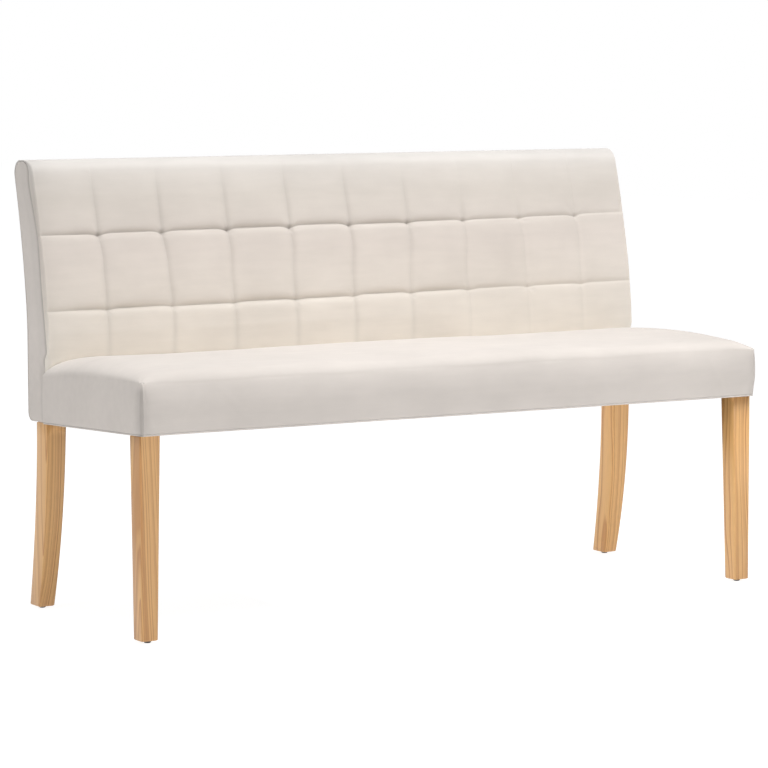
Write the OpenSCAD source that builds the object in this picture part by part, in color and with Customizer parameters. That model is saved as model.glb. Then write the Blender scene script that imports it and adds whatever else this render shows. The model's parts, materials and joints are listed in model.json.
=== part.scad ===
// Upholstered dining bench with a tufted back, tapered front legs and sabre rear legs.
// +X runs along the bench, +Y to the back, +Z up. The floor under the glides is z = 0.

/* [Overall size] */
// Length of the seat over its cover
seat_w = 1400; // [1100:5:1800]
// Depth from the seat's front to the back's rearmost line
overall_d = 555; // [530:1:600]
// Height of the rolled top of the back
back_h = 878; // [840:1:960]
// Height of the upholstery's lower edge above the floor, at the front
base_h = 383; // [340:1:420]
// How much lower that edge lies at the back
base_drop = 14.5; // [8:0.5:20]

/* [Seat] */
// Depth of the seat box over its cover
seat_d = 422; // [400:1:440]
// Height of the flat front face, from lower edge to rim
seat_face_h = 95; // [88:1:105]
// Rise of the rolled edge above the rim
seat_roll_h = 17; // [10:1:24]
// Rise of the crown above the rolled edge
seat_crown = 13; // [6:1:20]
// Reach of the roll along the front edge
front_roll = 45; // [30:1:60]
// Reach of the softer roll at both ends
end_roll = 95; // [60:1:120]
// Padding and cover outside the rails at both ends
end_pad = 5; // [4:0.5:8]
// Padding and cover outside the front rail
front_pad = 11; // [8:0.5:14]

/* [Back] */
// How far the back stops short of the seat at each end
back_inset = 10; // [6:1:16]
// Thickness of the back at the seat
back_t = 92.5; // [88:0.5:100]
// Thickness of the back under its rolled top
back_top_t = 77; // [72:1:84]
// How far the padding swells over the seat's rear edge
back_swell = 10; // [8:0.5:12]
// Radius of the roll at the top of the front
front_top_r = 34; // [30:1:36]
// Radius of the roll at the top of the rear
rear_top_r = 25; // [20:1:28]

/* [Tufting] */
// Number of tufted columns
tuft_cols = 10; // [8:1:12]
// Distance between two upright seams
tuft_pitch_x = 140.5; // [95:0.5:160]
// Height of the upper level seam, as a share of the back's height above the seat
seam_high_share = 0.595; // [0.56:0.005:0.64]
// Height of the lower level seam, as a share of the back's height above the seat
seam_low_share = 0.2; // [0.16:0.005:0.25]
// Height of a tuft above the seams' line
tuft_puff = 7; // [4:0.5:9]

/* [Legs] */
// Width and depth of a front leg at its top
front_leg_top = 39; // [36:0.5:46]
// Width and depth of a front leg at its foot
front_leg_foot = 31; // [26:0.5:34]
// Width of a rear leg at its top
rear_leg_w = 40; // [37:0.5:44]
// Depth of a rear leg at its top
rear_leg_d = 42; // [38:0.5:46]
// Width of a rear leg at its foot
rear_leg_foot = 32; // [28:0.5:36]
// Backward sweep of a rear leg from top to foot
leg_sweep = 43; // [25:1:55]
// Radius on the long edges of a leg
leg_ease = 3; // [2:0.5:4]

/* [Frame] */
// Thickness of the seat rails
rail_t = 18; // [16:0.5:20]
// Height of the seat rails
rail_h = 57; // [52:1:58]
// Thickness of the plywood seat board
board_t = 9; // [6:0.5:10]
// Thickness of the plywood back stiles
stile_t = 15; // [12:0.5:17]
// Height of the lower back rail
back_rail_h = 84.5; // [79:0.5:86.5]
// Thickness of the fabric covers
cover_t = 1.2; // [0.8:0.1:1.6]

/* [Hidden] */

// Colours
linen = "#E6DED3";
pine = "#D0A873";
plywood = "#C9A878";
hardboard = "#8A6A48";
foam_blue = "#DCD9C0";
wadding_white = "#F2F2EE";
felt_black = "#2C2B2A";
steel = "#9A9DA0";
nylon_grey = "#3C3A37";

// Small sizes
// Overrun that carries a cut past the surface it opens
cut = 1;
// Clearance between the seat box and the back that stands behind it
back_gap = 0.3;
// Clearance round a shank in its hole
bolt_gap = 0.2;
// Thickness of the dust cover
felt_t = 0.6;

// Places of the seat
half_w = seat_w / 2;
seat_front = -overall_d / 2;
seat_rear = seat_front + seat_d;
rim_z = base_h + seat_face_h;
roll_z = rim_z + seat_roll_h;
// Reach of the tight roll where the seat meets the back
rear_roll = 12;
// How much lower the rims of both ends lie at the back than at the front
end_drop = 21;
// Radius of the seat's upright corners
seat_corner_r = 12;
frame_z = base_h + cover_t;
// The lower edge falls evenly from the front to the back
base_rear = base_h - base_drop;
back_low = base_rear + cover_t;
function lower_z(y) = base_h - base_drop * (y - seat_front) / seat_d;
rail_top = frame_z + rail_h;
board_top = rail_top + board_t;
frame_x = half_w - end_pad;
frame_front = seat_front + front_pad;
frame_rear = seat_rear - cover_t;
inner_x = frame_x - rail_t;
inner_front = frame_front + rail_t;
inner_rear = frame_rear - rail_t;

// Share of the full height that a quarter ellipse reaches at a share of its reach
function roll_share(t) = t >= 1 ? 1 : sqrt(max(0, 1 - (1 - t) * (1 - t)));
function blend(a, b, t) = a + (b - a) * t;

// Height of the seat's crowned top, from the distances to its front, its rear and its nearer end
function seat_section_z(from_front, from_rear) =
    let (s = from_front / (from_front + from_rear))
    rim_z + (roll_z + seat_crown * (1 - (2 * s - 1) * (2 * s - 1)) - rim_z)
        * roll_share(from_front / front_roll) * roll_share(from_rear / rear_roll);
function seat_end_z(from_front, from_rear) =
    let (s = from_front / (from_front + from_rear))
    rim_z - end_drop * s * s;
function seat_top_z(from_end, from_front, from_rear) =
    let (end_z = seat_end_z(from_front, from_rear))
    end_z + (seat_section_z(from_front, from_rear) - end_z) * roll_share(from_end / end_roll);

// One level ring round the seat, as plan points: straight runs and round corners
long_steps = 13;
short_steps = 5;
corner_steps = 3;
ring_count = 2 * (long_steps + short_steps) + 4 * corner_steps;
function ring_run(a, b, n) = [for (i = [0 : n - 1]) blend(a, b, i / n)];
function ring_corner(c, r, from) =
    [for (i = [0 : corner_steps - 1])
        let (a = from + 90 * i / corner_steps) c + r * [cos(a), sin(a)]];
function plan_ring(x, front, rear, r) = concat(
    ring_run([-x + r, front], [x - r, front], long_steps),
    ring_corner([x - r, front + r], r, -90),
    ring_run([x, front + r], [x, rear - r], short_steps),
    ring_corner([x - r, rear - r], r, 0),
    ring_run([x - r, rear], [-x + r, rear], long_steps),
    ring_corner([-x + r, rear - r], r, 90),
    ring_run([-x, rear - r], [-x, front + r], short_steps),
    ring_corner([-x + r, front + r], r, 180));

// A level ring of the skin that lies t inside the seat's surface
function flat_ring(t, in_x, in_front, in_rear, z) =
    [for (p = plan_ring(half_w - t - in_x, seat_front + t + in_front, seat_rear - t - in_rear,
                        seat_corner_r - t))
        [p[0], p[1], z]];
// A ring of the lower edge, at a height above its falling line
function low_ring(t, in_x, in_front, in_rear, up) =
    [for (p = flat_ring(t, in_x, in_front, in_rear, 0)) [p[0], p[1], lower_z(p[1]) + up]];
// A ring on the crowned top of the skin that lies t inside the seat's surface
function top_ring(t, in_x, in_front, in_rear, corner_share) =
    [for (p = plan_ring(half_w - t - in_x, seat_front + t + in_front, seat_rear - t - in_rear,
                        (seat_corner_r - t) * corner_share))
        [p[0], p[1], seat_top_z(half_w - t - abs(p[0]), p[1] - seat_front - t,
                                seat_rear - t - p[1]) - t]];
roll_angles = [0, 22.5, 45, 67.5, 90];
inward_shares = [0.35, 0.7, 0.95];
// Share of the corner radius that is left where the rings close on the middle
middle_corner_share = 1 / 3;
// Half the depth of the seat's flatter middle and the length that closes with it
mid_front = front_roll;
mid_rear = rear_roll;
mid_half_d = (seat_d - front_roll - rear_roll) / 2;
function top_rings(t) = concat(
    [for (a = roll_angles) let (s = 1 - cos(a))
        top_ring(t, end_roll * s, front_roll * s, rear_roll * s, 1)],
    [for (s = inward_shares)
        top_ring(t, end_roll + mid_half_d * s, mid_front + (mid_half_d - t) * s,
                 mid_rear + (mid_half_d - t) * s, blend(1, middle_corner_share, s))]);
function ring_centre(ring) = [for (k = [0 : 2])
    (ring[0][k] + ring[len(ring) / 2][k]) / 2];

// Faces of a stack of rings, lowest first, that starts at point number first
function ring_faces(rings, n, first, flip) = [
    for (k = [0 : rings - 2], i = [0 : n - 1])
        let (a = first + k * n + i, b = first + k * n + (i + 1) % n, c = b + n, d = a + n)
        each flip ? [[a, b, c], [a, c, d]] : [[a, c, b], [a, d, c]]];
function fan_faces(n, first, centre, flip) = [
    for (i = [0 : n - 1])
        let (a = first + i, b = first + (i + 1) % n)
        flip ? [a, b, centre] : [a, centre, b]];

// Profile of the back, from the seat's rear edge up: its front and rear lines
back_half_w = half_w - back_inset;
back_front = seat_rear - back_swell;
back_foot = seat_rear + back_gap;
back_rear = back_front + back_t;
rear_lean = overall_d / 2 - back_rear;
front_lean = overall_d / 2 - back_top_t - back_front;
lean_power = 1.5;
// The front line leans from a height above the seat's roll, and the rear line from a height above that
front_bend_rise = 5;
rear_bend_rise = 40;
front_bend_z = roll_z + front_bend_rise;
rear_bend_z = front_bend_z + rear_bend_rise;
front_line_top = back_h - front_top_r;
rear_line_top = back_h - rear_top_r;
function lean(z, low, high) = pow(max(0, (z - low) / (high - low)), lean_power);
// The padding swells forward over the seat's rear edge from just above its rim to just above its roll
swell_start = 11;
swell_end = 13;
swell_low = rim_z + swell_start;
swell_high = roll_z + swell_end;
function swell_share(z) =
    let (s = min(1, max(0, (z - swell_low) / (swell_high - swell_low)))) s * s * (3 - 2 * s);
function front_y(z) = back_front + (back_swell + back_gap) * (1 - swell_share(z))
    + front_lean * lean(z, front_bend_z, front_line_top);
function rear_y(z) = back_rear + rear_lean * lean(z, rear_bend_z, rear_line_top);
front_top_lean = atan(lean_power * front_lean / (front_line_top - front_bend_z));
rear_top_lean = atan(lean_power * rear_lean / (rear_line_top - rear_bend_z));
front_roll_z = front_line_top + front_top_r * sin(front_top_lean);
rear_roll_z = rear_line_top - rear_top_r * sin(rear_top_lean);
front_roll_y = front_y(front_roll_z) + front_top_r * cos(front_top_lean);
rear_roll_y = rear_y(rear_roll_z) - rear_top_r * cos(rear_top_lean);

// Heights of the level seams and of the mesh lines between them
seam_high = blend(swell_high, back_h, seam_high_share);
seam_low = blend(swell_high, back_h, seam_low_share);
tuft_pitch_z = seam_high - seam_low;
quilt_low = back_low + back_rail_h + back_gap;
line_shares = [0.14, 0.5, 0.86];
front_zs = concat(
    [quilt_low, swell_low, blend(swell_low, swell_high, 0.5), swell_high],
    [for (s = line_shares) if (s > line_shares[0]) blend(swell_high, seam_low, s)],
    [seam_low], [for (s = line_shares) blend(seam_low, seam_high, s)],
    [seam_high], [for (s = line_shares) blend(seam_high, front_roll_z, s)],
    [front_roll_z]);
front_arc_steps = 3;
rear_arc_steps = 4;
// Shares of the full padding that are left where the roll starts, at its crest, behind it and at its end
roll_pad_share = 0.75;
crest_pad_share = 0.62;
rear_pad_share = 0.5;
end_pad_share = 0.15;
// Each line of the back's skin: [y, z, outward y, outward z, share of the padding behind it]
slope_step = 3;
function front_slope(z) = atan((front_y(z + slope_step) - front_y(z)) / slope_step);
skin_lines = concat(
    [for (z = front_zs) let (a = z > swell_high ? front_slope(z) : 0)
        [front_y(z), z, -cos(a), sin(a), z < seam_high ? 1
            : blend(1, roll_pad_share, (z - seam_high) / (front_roll_z - seam_high))]],
    [for (i = [1 : front_arc_steps])
        let (a = blend(front_top_lean, 90, i / front_arc_steps))
        [front_roll_y - front_top_r * cos(a), front_line_top + front_top_r * sin(a),
         -cos(a), sin(a), blend(roll_pad_share, crest_pad_share, i / front_arc_steps)]],
    [for (i = [0 : rear_arc_steps])
        let (a = blend(90, -rear_top_lean, i / rear_arc_steps))
        [rear_roll_y + rear_top_r * cos(a), rear_line_top + rear_top_r * sin(a),
         cos(a), sin(a), blend(rear_pad_share, end_pad_share, i / rear_arc_steps)]]);
line_count = len(skin_lines);
crest = len(front_zs) + front_arc_steps - 1;
function skin_point(j, t) = let (l = skin_lines[j], in = t * l[4])
    [l[0] - l[2] * in, l[1] - l[3] * in];

// Layers of the back behind its skin: quilted cover, foam, and the boards that carry them
quilt_t = 18;
// Thickness of the quilted cover where it is sewn to the boxing strips
quilt_lip = 4;
back_foam_t = 20;
front_board_t = 4;
rear_board_t = 3;
// Thickness of a padded boxing strip
strip_t = 3;
strip_x = back_half_w - strip_t;
stile_x = strip_x - stile_t;
face_in = quilt_t + back_foam_t;
stile_in = face_in + front_board_t;
// Radius of the back's lower rear corner
bottom_corner_r = 17;
rear_steps = 10;
// Rear line of a layer that lies t inside, from the roll down to a height
function rear_line(t, low) = [for (i = [0 : rear_steps])
    let (z = blend(rear_roll_z, low, i / rear_steps)) [rear_y(z) - t, z]];
// Lower rear corner of a layer that lies t inside, ending on its lower edge
function rear_corner(t) = let (r = bottom_corner_r - t)
    [for (a = [0 : 22.5 : 90])
        [back_rear - bottom_corner_r + r * cos(a), base_rear + bottom_corner_r - r * sin(a)]];
function reversed(list) = [for (i = [len(list) - 1 : -1 : 0]) list[i]];

// Places of the tufts
tuft_edge = (tuft_cols - 2) / 2 * tuft_pitch_x;
// How far a seam lies under the skin, and how much deeper a crossing of two seams lies
seam_sink = 2;
dimple = 3;
end_line_shares = [0.14, 0.5, 0.86, 0.97];
column_lines = concat(
    [-back_half_w],
    [for (i = [len(end_line_shares) - 1 : -1 : 0]) blend(-tuft_edge, -back_half_w, end_line_shares[i])],
    [for (c = [0 : tuft_cols - 3], s = concat([0], line_shares))
        -tuft_edge + (c + s) * tuft_pitch_x],
    [tuft_edge], [for (s = end_line_shares) blend(tuft_edge, back_half_w, s)],
    [back_half_w]);
column_count = len(column_lines);
// Fullness of a tuft across a cell, none at its seams and whole in its middle
function fullness(s) = 1 - pow(abs(2 * s - 1), 3);
function column_fullness(x) = abs(x) > tuft_edge
    ? fullness((abs(x) - tuft_edge) / (back_half_w - tuft_edge))
    : fullness(let (c = (x + tuft_edge) / tuft_pitch_x) c - floor(c));
function row_fullness(z) = z > seam_high
    ? fullness(min(0.5, (z - seam_high) / tuft_pitch_z))
    : z > seam_low ? fullness((z - seam_low) / (seam_high - seam_low))
    : fullness(min(0.5, (seam_low - z) / tuft_pitch_z));
// The upright seams fade out towards the rolled top, and the lowest tufts fade out behind the seat
fade_start_share = 0.5;
fade_reach_share = 1 / 3;
low_fade_share = 0.5;
function seam_share(z) =
    1 - min(1, max(0, ((z - seam_high) / tuft_pitch_z - fade_start_share) / fade_reach_share));
function tuft_height(j, x) = let (
        z = skin_lines[j][1],
        across = 1 - (1 - column_fullness(x)) * (abs(x) > tuft_edge ? 1 : seam_share(z)),
        full = across * row_fullness(z),
        fade = j < len(front_zs)
            ? min(1, max(0, (z - swell_low) / (seam_low - swell_low) / low_fade_share))
            : max(0, 1 - (j - len(front_zs) + 1) / front_arc_steps))
    abs(x) >= back_half_w ? 0
        : fade * (tuft_puff * full - seam_sink * (1 - full) - (full <= 0 ? dimple : 0));

// Legs, glides and fixings
glide_h = 5;
glide_r = 7;
// Shares of the glide's radius that stands flat and of its height that is domed
glide_flat_share = 0.55;
glide_dome_share = 0.6;
glide_nail_r = 1.5;
glide_nail_l = 18;
leg_steps = 14;
leg_step_z = (base_rear - glide_h) / leg_steps;
// Stub of a leg that is bolted inside the rails: its height above the leg and its root inside it
stub_h = 52;
stub_root = 13;
stub_set = 1;
// Chamfer on the stub's inner corner, square to the hanger bolts
stub_chamfer = 10;
front_leg_x = frame_x;
front_leg_y = frame_front;
rear_leg_x = back_half_w;
rear_leg_y = back_foot;
front_stub = front_leg_top - rail_t - stub_set;
block_t = 20;
block_near = 2 * front_stub - stub_chamfer;
block_far = block_near + block_t * sqrt(2);
// How much lower than the rails the braces across the corners are
block_short = 5;
block_h = rail_h - block_short;
bolt_r = 4;
bolt_z_shares = [0.3, 0.7];
bolt_zs = [for (s = bolt_z_shares) frame_z + s * rail_h];
washer_r = 9;
washer_t = 1.6;
head_r = 6.5;
head_h = 5;
socket_share = 0.6;
nut_r = 7.5;
nut_h = 6.5;
tee_flange_r = 9.5;
tee_flange_t = 1.5;
tee_barrel_r = 5.2;
tee_barrel_l = 10;
tail = 3;
// Inner and outer sides of a rear leg's stub
rear_stub_x0 = rear_leg_x - rear_leg_w + stub_set;
rear_stub_x1 = stile_x;
rear_bolt_x = (rear_stub_x0 + rear_stub_x1) / 2;
bottom_rail_t = front_y(quilt_low) + stile_in - back_foot;
back_bolt_shares = [-0.72, -0.26, 0.26, 0.72];
back_bolt_xs = [for (s = back_bolt_shares) s * inner_x];
back_bolt_z = frame_z + rail_h / 2;

// A stack of level rings closed at both ends, for legs
module ring_stack(rings) {
    n = len(rings[0]);
    count = len(rings);
    polyhedron(
        points = [for (r = rings, p = r) p],
        faces = concat(
            [[for (i = [0 : n - 1]) i]],
            [[for (i = [n - 1 : -1 : 0]) (count - 1) * n + i]],
            ring_faces(count, n, 0, false)),
        convexity = 4);
}

// A level rectangle with eased corners between two x and two y
ease_steps = 3;
function eased_ring(x0, x1, y0, y1, r, z) = [
    for (c = [[x1 - r, y0 + r, -90], [x1 - r, y1 - r, 0], [x0 + r, y1 - r, 90], [x0 + r, y0 + r, 180]],
         i = [0 : ease_steps])
        let (a = c[2] + 90 * i / ease_steps) [c[0] + r * cos(a), c[1] + r * sin(a), z]];

// Front leg of the right end: both inner faces taper towards the foot
module front_leg() {
    function ring(z, set) =
        let (w = blend(front_leg_foot, front_leg_top, (z - glide_h) / (base_h - glide_h)))
        eased_ring(front_leg_x - w + set, front_leg_x - set,
                   front_leg_y + set, front_leg_y + w - set, leg_ease, z);
    color(pine) difference() {
        union() {
            ring_stack([ring(glide_h, leg_ease / 2), ring(glide_h + leg_ease / 2, 0),
                        [for (p = ring(base_h, 0)) [p[0], p[1], lower_z(p[1])]]]);
            translate([inner_x, inner_front, base_h - stub_root])
                linear_extrude(stub_root + stub_h)
                    polygon([[0, 0], [0, front_stub], [stub_chamfer - front_stub, front_stub],
                             [-front_stub, front_stub - stub_chamfer], [-front_stub, 0]]);
        }
        front_bolt_places() hanger_bolt(bolt_gap);
        glide_place(front_glide[0], front_glide[1]) glide_nail(bolt_gap);
    }
}

// Rear leg of the right end: a sabre that sweeps back and tapers on its inner face
sweep_front_power = 2.2;
sweep_rear_power = 1.7;
module rear_leg() {
    function ring(z, set) = let (
            s = (base_rear - z) / (base_rear - glide_h),
            w = blend(rear_leg_w, rear_leg_foot, s))
        eased_ring(rear_leg_x - w + set, rear_leg_x - set,
                   rear_leg_y + leg_sweep * pow(s, sweep_front_power) + set,
                   rear_leg_y + rear_leg_d + leg_sweep * pow(s, sweep_rear_power) - set,
                   leg_ease, z);
    color(pine) difference() {
        union() {
            ring_stack(concat([ring(glide_h, leg_ease / 2), ring(glide_h + leg_ease / 2, 0)],
                              [for (i = [1 : leg_steps]) ring(glide_h + i * leg_step_z, 0)]));
            translate([rear_stub_x0, rear_leg_y, base_rear - stub_root])
                cube([rear_stub_x1 - rear_stub_x0, rear_leg_d - stub_set, stub_root + base_drop + stub_h]);
        }
        rear_bolt_places() clamp_shank(rear_leg_y + rear_leg_d - inner_rear, bolt_gap);
        rear_bolt_places() tee_barrel(rear_leg_y + rear_leg_d - stub_set - inner_rear, bolt_gap);
        glide_place(rear_glide[0], rear_glide[1]) glide_nail(bolt_gap);
    }
}

// A nailed glide: a low dome under the foot and its nail
module glide_place(x, y) {
    translate([x, y, 0]) children();
}
front_glide = [front_leg_x - front_leg_foot / 2, front_leg_y + front_leg_foot / 2];
rear_glide = [rear_leg_x - rear_leg_foot / 2, rear_leg_y + rear_leg_d / 2 + leg_sweep];
module glide_nail(gap) {
    translate([0, 0, glide_h - gap]) cylinder(h = glide_nail_l + 2 * gap, r = glide_nail_r + gap, $fn = 24);
}
module glide() {
    color(nylon_grey) rotate_extrude($fn = 48)
        polygon(concat([[0, 0], [glide_r * glide_flat_share, 0]],
            [for (a = [30 : 20 : 90]) [glide_r * blend(glide_flat_share, 1, sin(a)),
                                       glide_h * glide_dome_share * (1 - cos(a))]],
            [[glide_r, glide_h], [glide_nail_r, glide_h],
             [glide_nail_r, glide_h + glide_nail_l - glide_nail_r], [0, glide_h + glide_nail_l]]));
}

// Places of the fixings, each set drawn at the right end and mirrored to the left
module both_ends() {
    children();
    mirror([1, 0, 0]) children();
}
module front_bolt_places() {
    for (z = bolt_zs) translate([inner_x, inner_front, z]) rotate([0, 0, 135]) rotate([0, 90, 0]) children();
}
module rear_bolt_places() {
    for (z = bolt_zs) translate([rear_bolt_x, inner_rear, z]) rotate([-90, 0, 0]) children();
}
module back_bolt_places() {
    for (x = back_bolt_xs) translate([x, inner_rear, back_bolt_z]) rotate([-90, 0, 0]) children();
}

// Hanger bolt along +Z from the leg's stub, through the corner block, to its nut
bolt_skin_share = 2.5;
bolt_bury = block_near / sqrt(2) - bolt_skin_share * bolt_r;
hanger_end = block_far / sqrt(2) + washer_t + nut_h + tail;
module hanger_bolt(gap) {
    translate([0, 0, block_near / sqrt(2) - bolt_bury - gap])
        cylinder(h = hanger_end - block_near / sqrt(2) + bolt_bury + 2 * gap, r = bolt_r + gap, $fn = 32);
}
module washer() {
    difference() {
        cylinder(h = washer_t, r = washer_r, $fn = 40);
        translate([0, 0, -cut]) cylinder(h = washer_t + 2 * cut, r = bolt_r + bolt_gap, $fn = 32);
    }
}
module hex_nut() {
    difference() {
        cylinder(h = nut_h, r = nut_r, $fn = 6);
        translate([0, 0, -cut]) cylinder(h = nut_h + 2 * cut, r = bolt_r + bolt_gap, $fn = 32);
    }
}
// Socket-head bolt along +Z whose grip starts at z = 0
module clamp_shank(grip, gap) {
    translate([0, 0, -cut]) cylinder(h = grip + tail + cut, r = bolt_r + gap, $fn = 32);
}
module clamp_bolt(grip) {
    socket_depth = head_h * socket_share;
    union() {
        difference() {
            translate([0, 0, -washer_t - head_h]) cylinder(h = head_h, r = head_r, $fn = 40);
            translate([0, 0, -washer_t - head_h - cut])
                cylinder(h = socket_depth + cut, r = head_r / 2, $fn = 6);
        }
        translate([0, 0, -washer_t]) cylinder(h = washer_t + grip + tail, r = bolt_r, $fn = 32);
    }
}
module tee_barrel(grip, gap) {
    translate([0, 0, grip - tee_barrel_l]) cylinder(h = tee_barrel_l + cut, r = tee_barrel_r + gap, $fn = 32);
}
module tee_nut(grip) {
    difference() {
        union() {
            translate([0, 0, grip]) cylinder(h = tee_flange_t, r = tee_flange_r, $fn = 40);
            translate([0, 0, grip - tee_barrel_l])
                cylinder(h = tee_barrel_l + tee_flange_t, r = tee_barrel_r, $fn = 32);
        }
        translate([0, 0, grip - tee_barrel_l - cut])
            cylinder(h = tee_barrel_l + tee_flange_t + 2 * cut, r = bolt_r + bolt_gap, $fn = 32);
    }
}
rear_grip = rear_leg_y + rear_leg_d - stub_set - inner_rear;
back_grip = back_foot + bottom_rail_t - inner_rear;

module front_leg_bolts() {
    color(steel) both_ends() front_bolt_places() hanger_bolt(0);
}
module front_leg_washers() {
    color(steel) both_ends() front_bolt_places() translate([0, 0, block_far / sqrt(2)]) washer();
}
module front_leg_nuts() {
    color(steel) both_ends() front_bolt_places()
        translate([0, 0, block_far / sqrt(2) + washer_t]) hex_nut();
}
module rear_leg_bolts() {
    color(steel) both_ends() rear_bolt_places() clamp_bolt(rear_grip);
}
module rear_leg_washers() {
    color(steel) both_ends() rear_bolt_places() translate([0, 0, -washer_t]) washer();
}
module rear_leg_tee_nuts() {
    color(steel) both_ends() rear_bolt_places() tee_nut(rear_grip);
}
module back_bolts() {
    color(steel) back_bolt_places() clamp_bolt(back_grip);
}
module back_washers() {
    color(steel) back_bolt_places() translate([0, 0, -washer_t]) washer();
}
module back_tee_nuts() {
    color(steel) back_bolt_places() tee_nut(back_grip);
}

// Profile in the plane of Y and Z, drawn along X between two places
module profile_slab(x0, x1, points) {
    translate([x0, 0, 0]) rotate([90, 0, 90]) linear_extrude(x1 - x0) polygon(points);
}

// Seat frame: four rails cut to the falling lower edge, three cross rails and four braces across the corners
module rail_slab(x0, x1, y0, y1) {
    profile_slab(x0, x1, [[y0, lower_z(y0) + cover_t], [y1, lower_z(y1) + cover_t],
                          [y1, rail_top], [y0, rail_top]]);
}
module seat_front_rail() {
    color(pine) rail_slab(-frame_x, frame_x, frame_front, inner_front);
}
module seat_rear_rail() {
    color(pine) difference() {
        rail_slab(-frame_x, frame_x, inner_rear, frame_rear);
        both_ends() rear_bolt_places() clamp_shank(rear_grip, bolt_gap);
        back_bolt_places() clamp_shank(back_grip, bolt_gap);
    }
}
module seat_side_rail() {
    color(pine) rail_slab(inner_x, frame_x, inner_front, inner_rear);
}
// A cross rail stands on edge, its lower edge arched between its ends
cross_x_shares = [-0.69, 0, 0.69];
cross_h_share = 0.8;
cross_arch_share = 0.3;
cross_h = rail_h * cross_h_share;
module seat_cross_rail(k) {
    length = inner_rear - inner_front;
    arch = cross_h * cross_arch_share;
    arch_r = (length * length / 4 + arch * arch) / (2 * arch);
    color(pine) difference() {
        translate([cross_x_shares[k] * inner_x - rail_t / 2, inner_front, rail_top - cross_h])
            cube([rail_t, length, cross_h]);
        translate([cross_x_shares[k] * inner_x - rail_t / 2 - cut, inner_front + length / 2,
                   rail_top - cross_h + arch - arch_r])
            rotate([0, 90, 0]) cylinder(h = rail_t + 2 * cut, r = arch_r, $fn = 720);
    }
}
module corner_brace() {
    linear_extrude(block_h) polygon([[block_near, 0], [block_far, 0], [0, block_far], [0, block_near]]);
}
module corner_block_front() {
    color(pine) difference() {
        translate([inner_x, inner_front, rail_top - block_h]) rotate([0, 0, 90]) corner_brace();
        front_bolt_places() hanger_bolt(bolt_gap);
    }
}
module corner_block_rear() {
    color(pine) translate([inner_x, inner_rear, rail_top - block_h]) rotate([0, 0, 180]) corner_brace();
}

// Plywood seat board with a row of holes that let the foam breathe
vent_r = 14;
vent_shares = [-0.8, -0.48, -0.16, 0.16, 0.48, 0.8];
module seat_board() {
    color(plywood) difference() {
        translate([-frame_x, frame_front, rail_top]) cube([2 * frame_x, frame_rear - frame_front, board_t]);
        for (s = vent_shares) translate([s * inner_x, (frame_front + frame_rear) / 2, rail_top - cut])
            cylinder(h = board_t + 2 * cut, r = vent_r, $fn = 48);
    }
}

// Wadding round the front and both ends of the rails
module seat_edge_wadding() {
    color(wadding_white) difference() {
        translate([0, 0, base_rear]) linear_extrude(board_top - base_rear) difference() {
            polygon([for (p = plan_ring(half_w - cover_t, seat_front + cover_t, seat_rear - cover_t,
                                        seat_corner_r - cover_t)) p]);
            translate([-frame_x, frame_front]) square([2 * frame_x, seat_d]);
        }
        profile_slab(-half_w, half_w, [
            [seat_front, base_rear - cut], [seat_rear, base_rear - cut],
            [seat_rear, back_low], [seat_front, frame_z]]);
    }
}

// Foam block with the crown that the cover is drawn over
module seat_foam() {
    rings = concat([flat_ring(cover_t, 0, 0, 0, board_top)], top_rings(cover_t));
    points = concat([for (r = rings, p = r) p],
        [[0, (seat_front + seat_rear) / 2, board_top], ring_centre(rings[len(rings) - 1])]);
    last = (len(rings) - 1) * ring_count;
    low_mid = len(rings) * ring_count;
    color(foam_blue) polyhedron(points = points, faces = concat(
        fan_faces(ring_count, 0, low_mid, true),
        ring_faces(len(rings), ring_count, 0, false),
        fan_faces(ring_count, last, low_mid + 1, false)), convexity = 4);
}

// Fabric cover of the seat: crown, rolled edges, boxed sides and a hem turned under the rails
module seat_cover() {
    hem = [end_pad + rail_t, front_pad + rail_t, cover_t + rail_t];
    turn = cover_t;
    outer = concat(
        [low_ring(0, hem[0], hem[1], hem[2], 0),
         low_ring(0, turn, turn, turn, 0),
         low_ring(0, 0, 0, 0, turn),
         flat_ring(0, 0, 0, 0, blend(base_h, rim_z, 0.5))],
        top_rings(0));
    inner = concat(
        [low_ring(cover_t, hem[0] - cover_t, hem[1] - cover_t, hem[2] - cover_t, cover_t),
         low_ring(cover_t, 0, 0, 0, cover_t),
         flat_ring(cover_t, 0, 0, 0, board_top)],
        top_rings(cover_t));
    inner_first = len(outer) * ring_count;
    mid = inner_first + len(inner) * ring_count;
    color(linen) difference() {
        polyhedron(
            points = concat([for (r = outer, p = r) p], [for (r = inner, p = r) p],
                [ring_centre(outer[len(outer) - 1]), ring_centre(inner[len(inner) - 1])]),
            faces = concat(
                ring_faces(len(outer), ring_count, 0, false),
                fan_faces(ring_count, (len(outer) - 1) * ring_count, mid, false),
                ring_faces(len(inner), ring_count, inner_first, true),
                fan_faces(ring_count, inner_first + (len(inner) - 1) * ring_count, mid + 1, true),
                [for (i = [0 : ring_count - 1]) let (j = (i + 1) % ring_count)
                    each [[i, j, inner_first + j], [i, inner_first + j, inner_first + i]]]),
            convexity = 8);
        both_ends() rear_bolt_places() clamp_shank(rear_grip, bolt_gap);
        back_bolt_places() clamp_shank(back_grip, bolt_gap);
    }
}

// Felt that closes the seat from below, cut out round the front legs
felt_set = 8;
module dust_cover() {
    y0 = frame_front + felt_set;
    y1 = frame_rear - felt_set;
    color(felt_black) difference() {
        profile_slab(-frame_x + felt_set, frame_x - felt_set, [
            [y0, lower_z(y0) - felt_t], [y1, lower_z(y1) - felt_t], [y1, lower_z(y1)], [y0, lower_z(y0)]]);
        both_ends() translate([front_leg_x - front_leg_top - cut, front_leg_y - cut, base_h - base_drop])
            cube([front_leg_top + 2 * cut, front_leg_top + 2 * cut, base_drop + cut]);
    }
}

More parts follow.
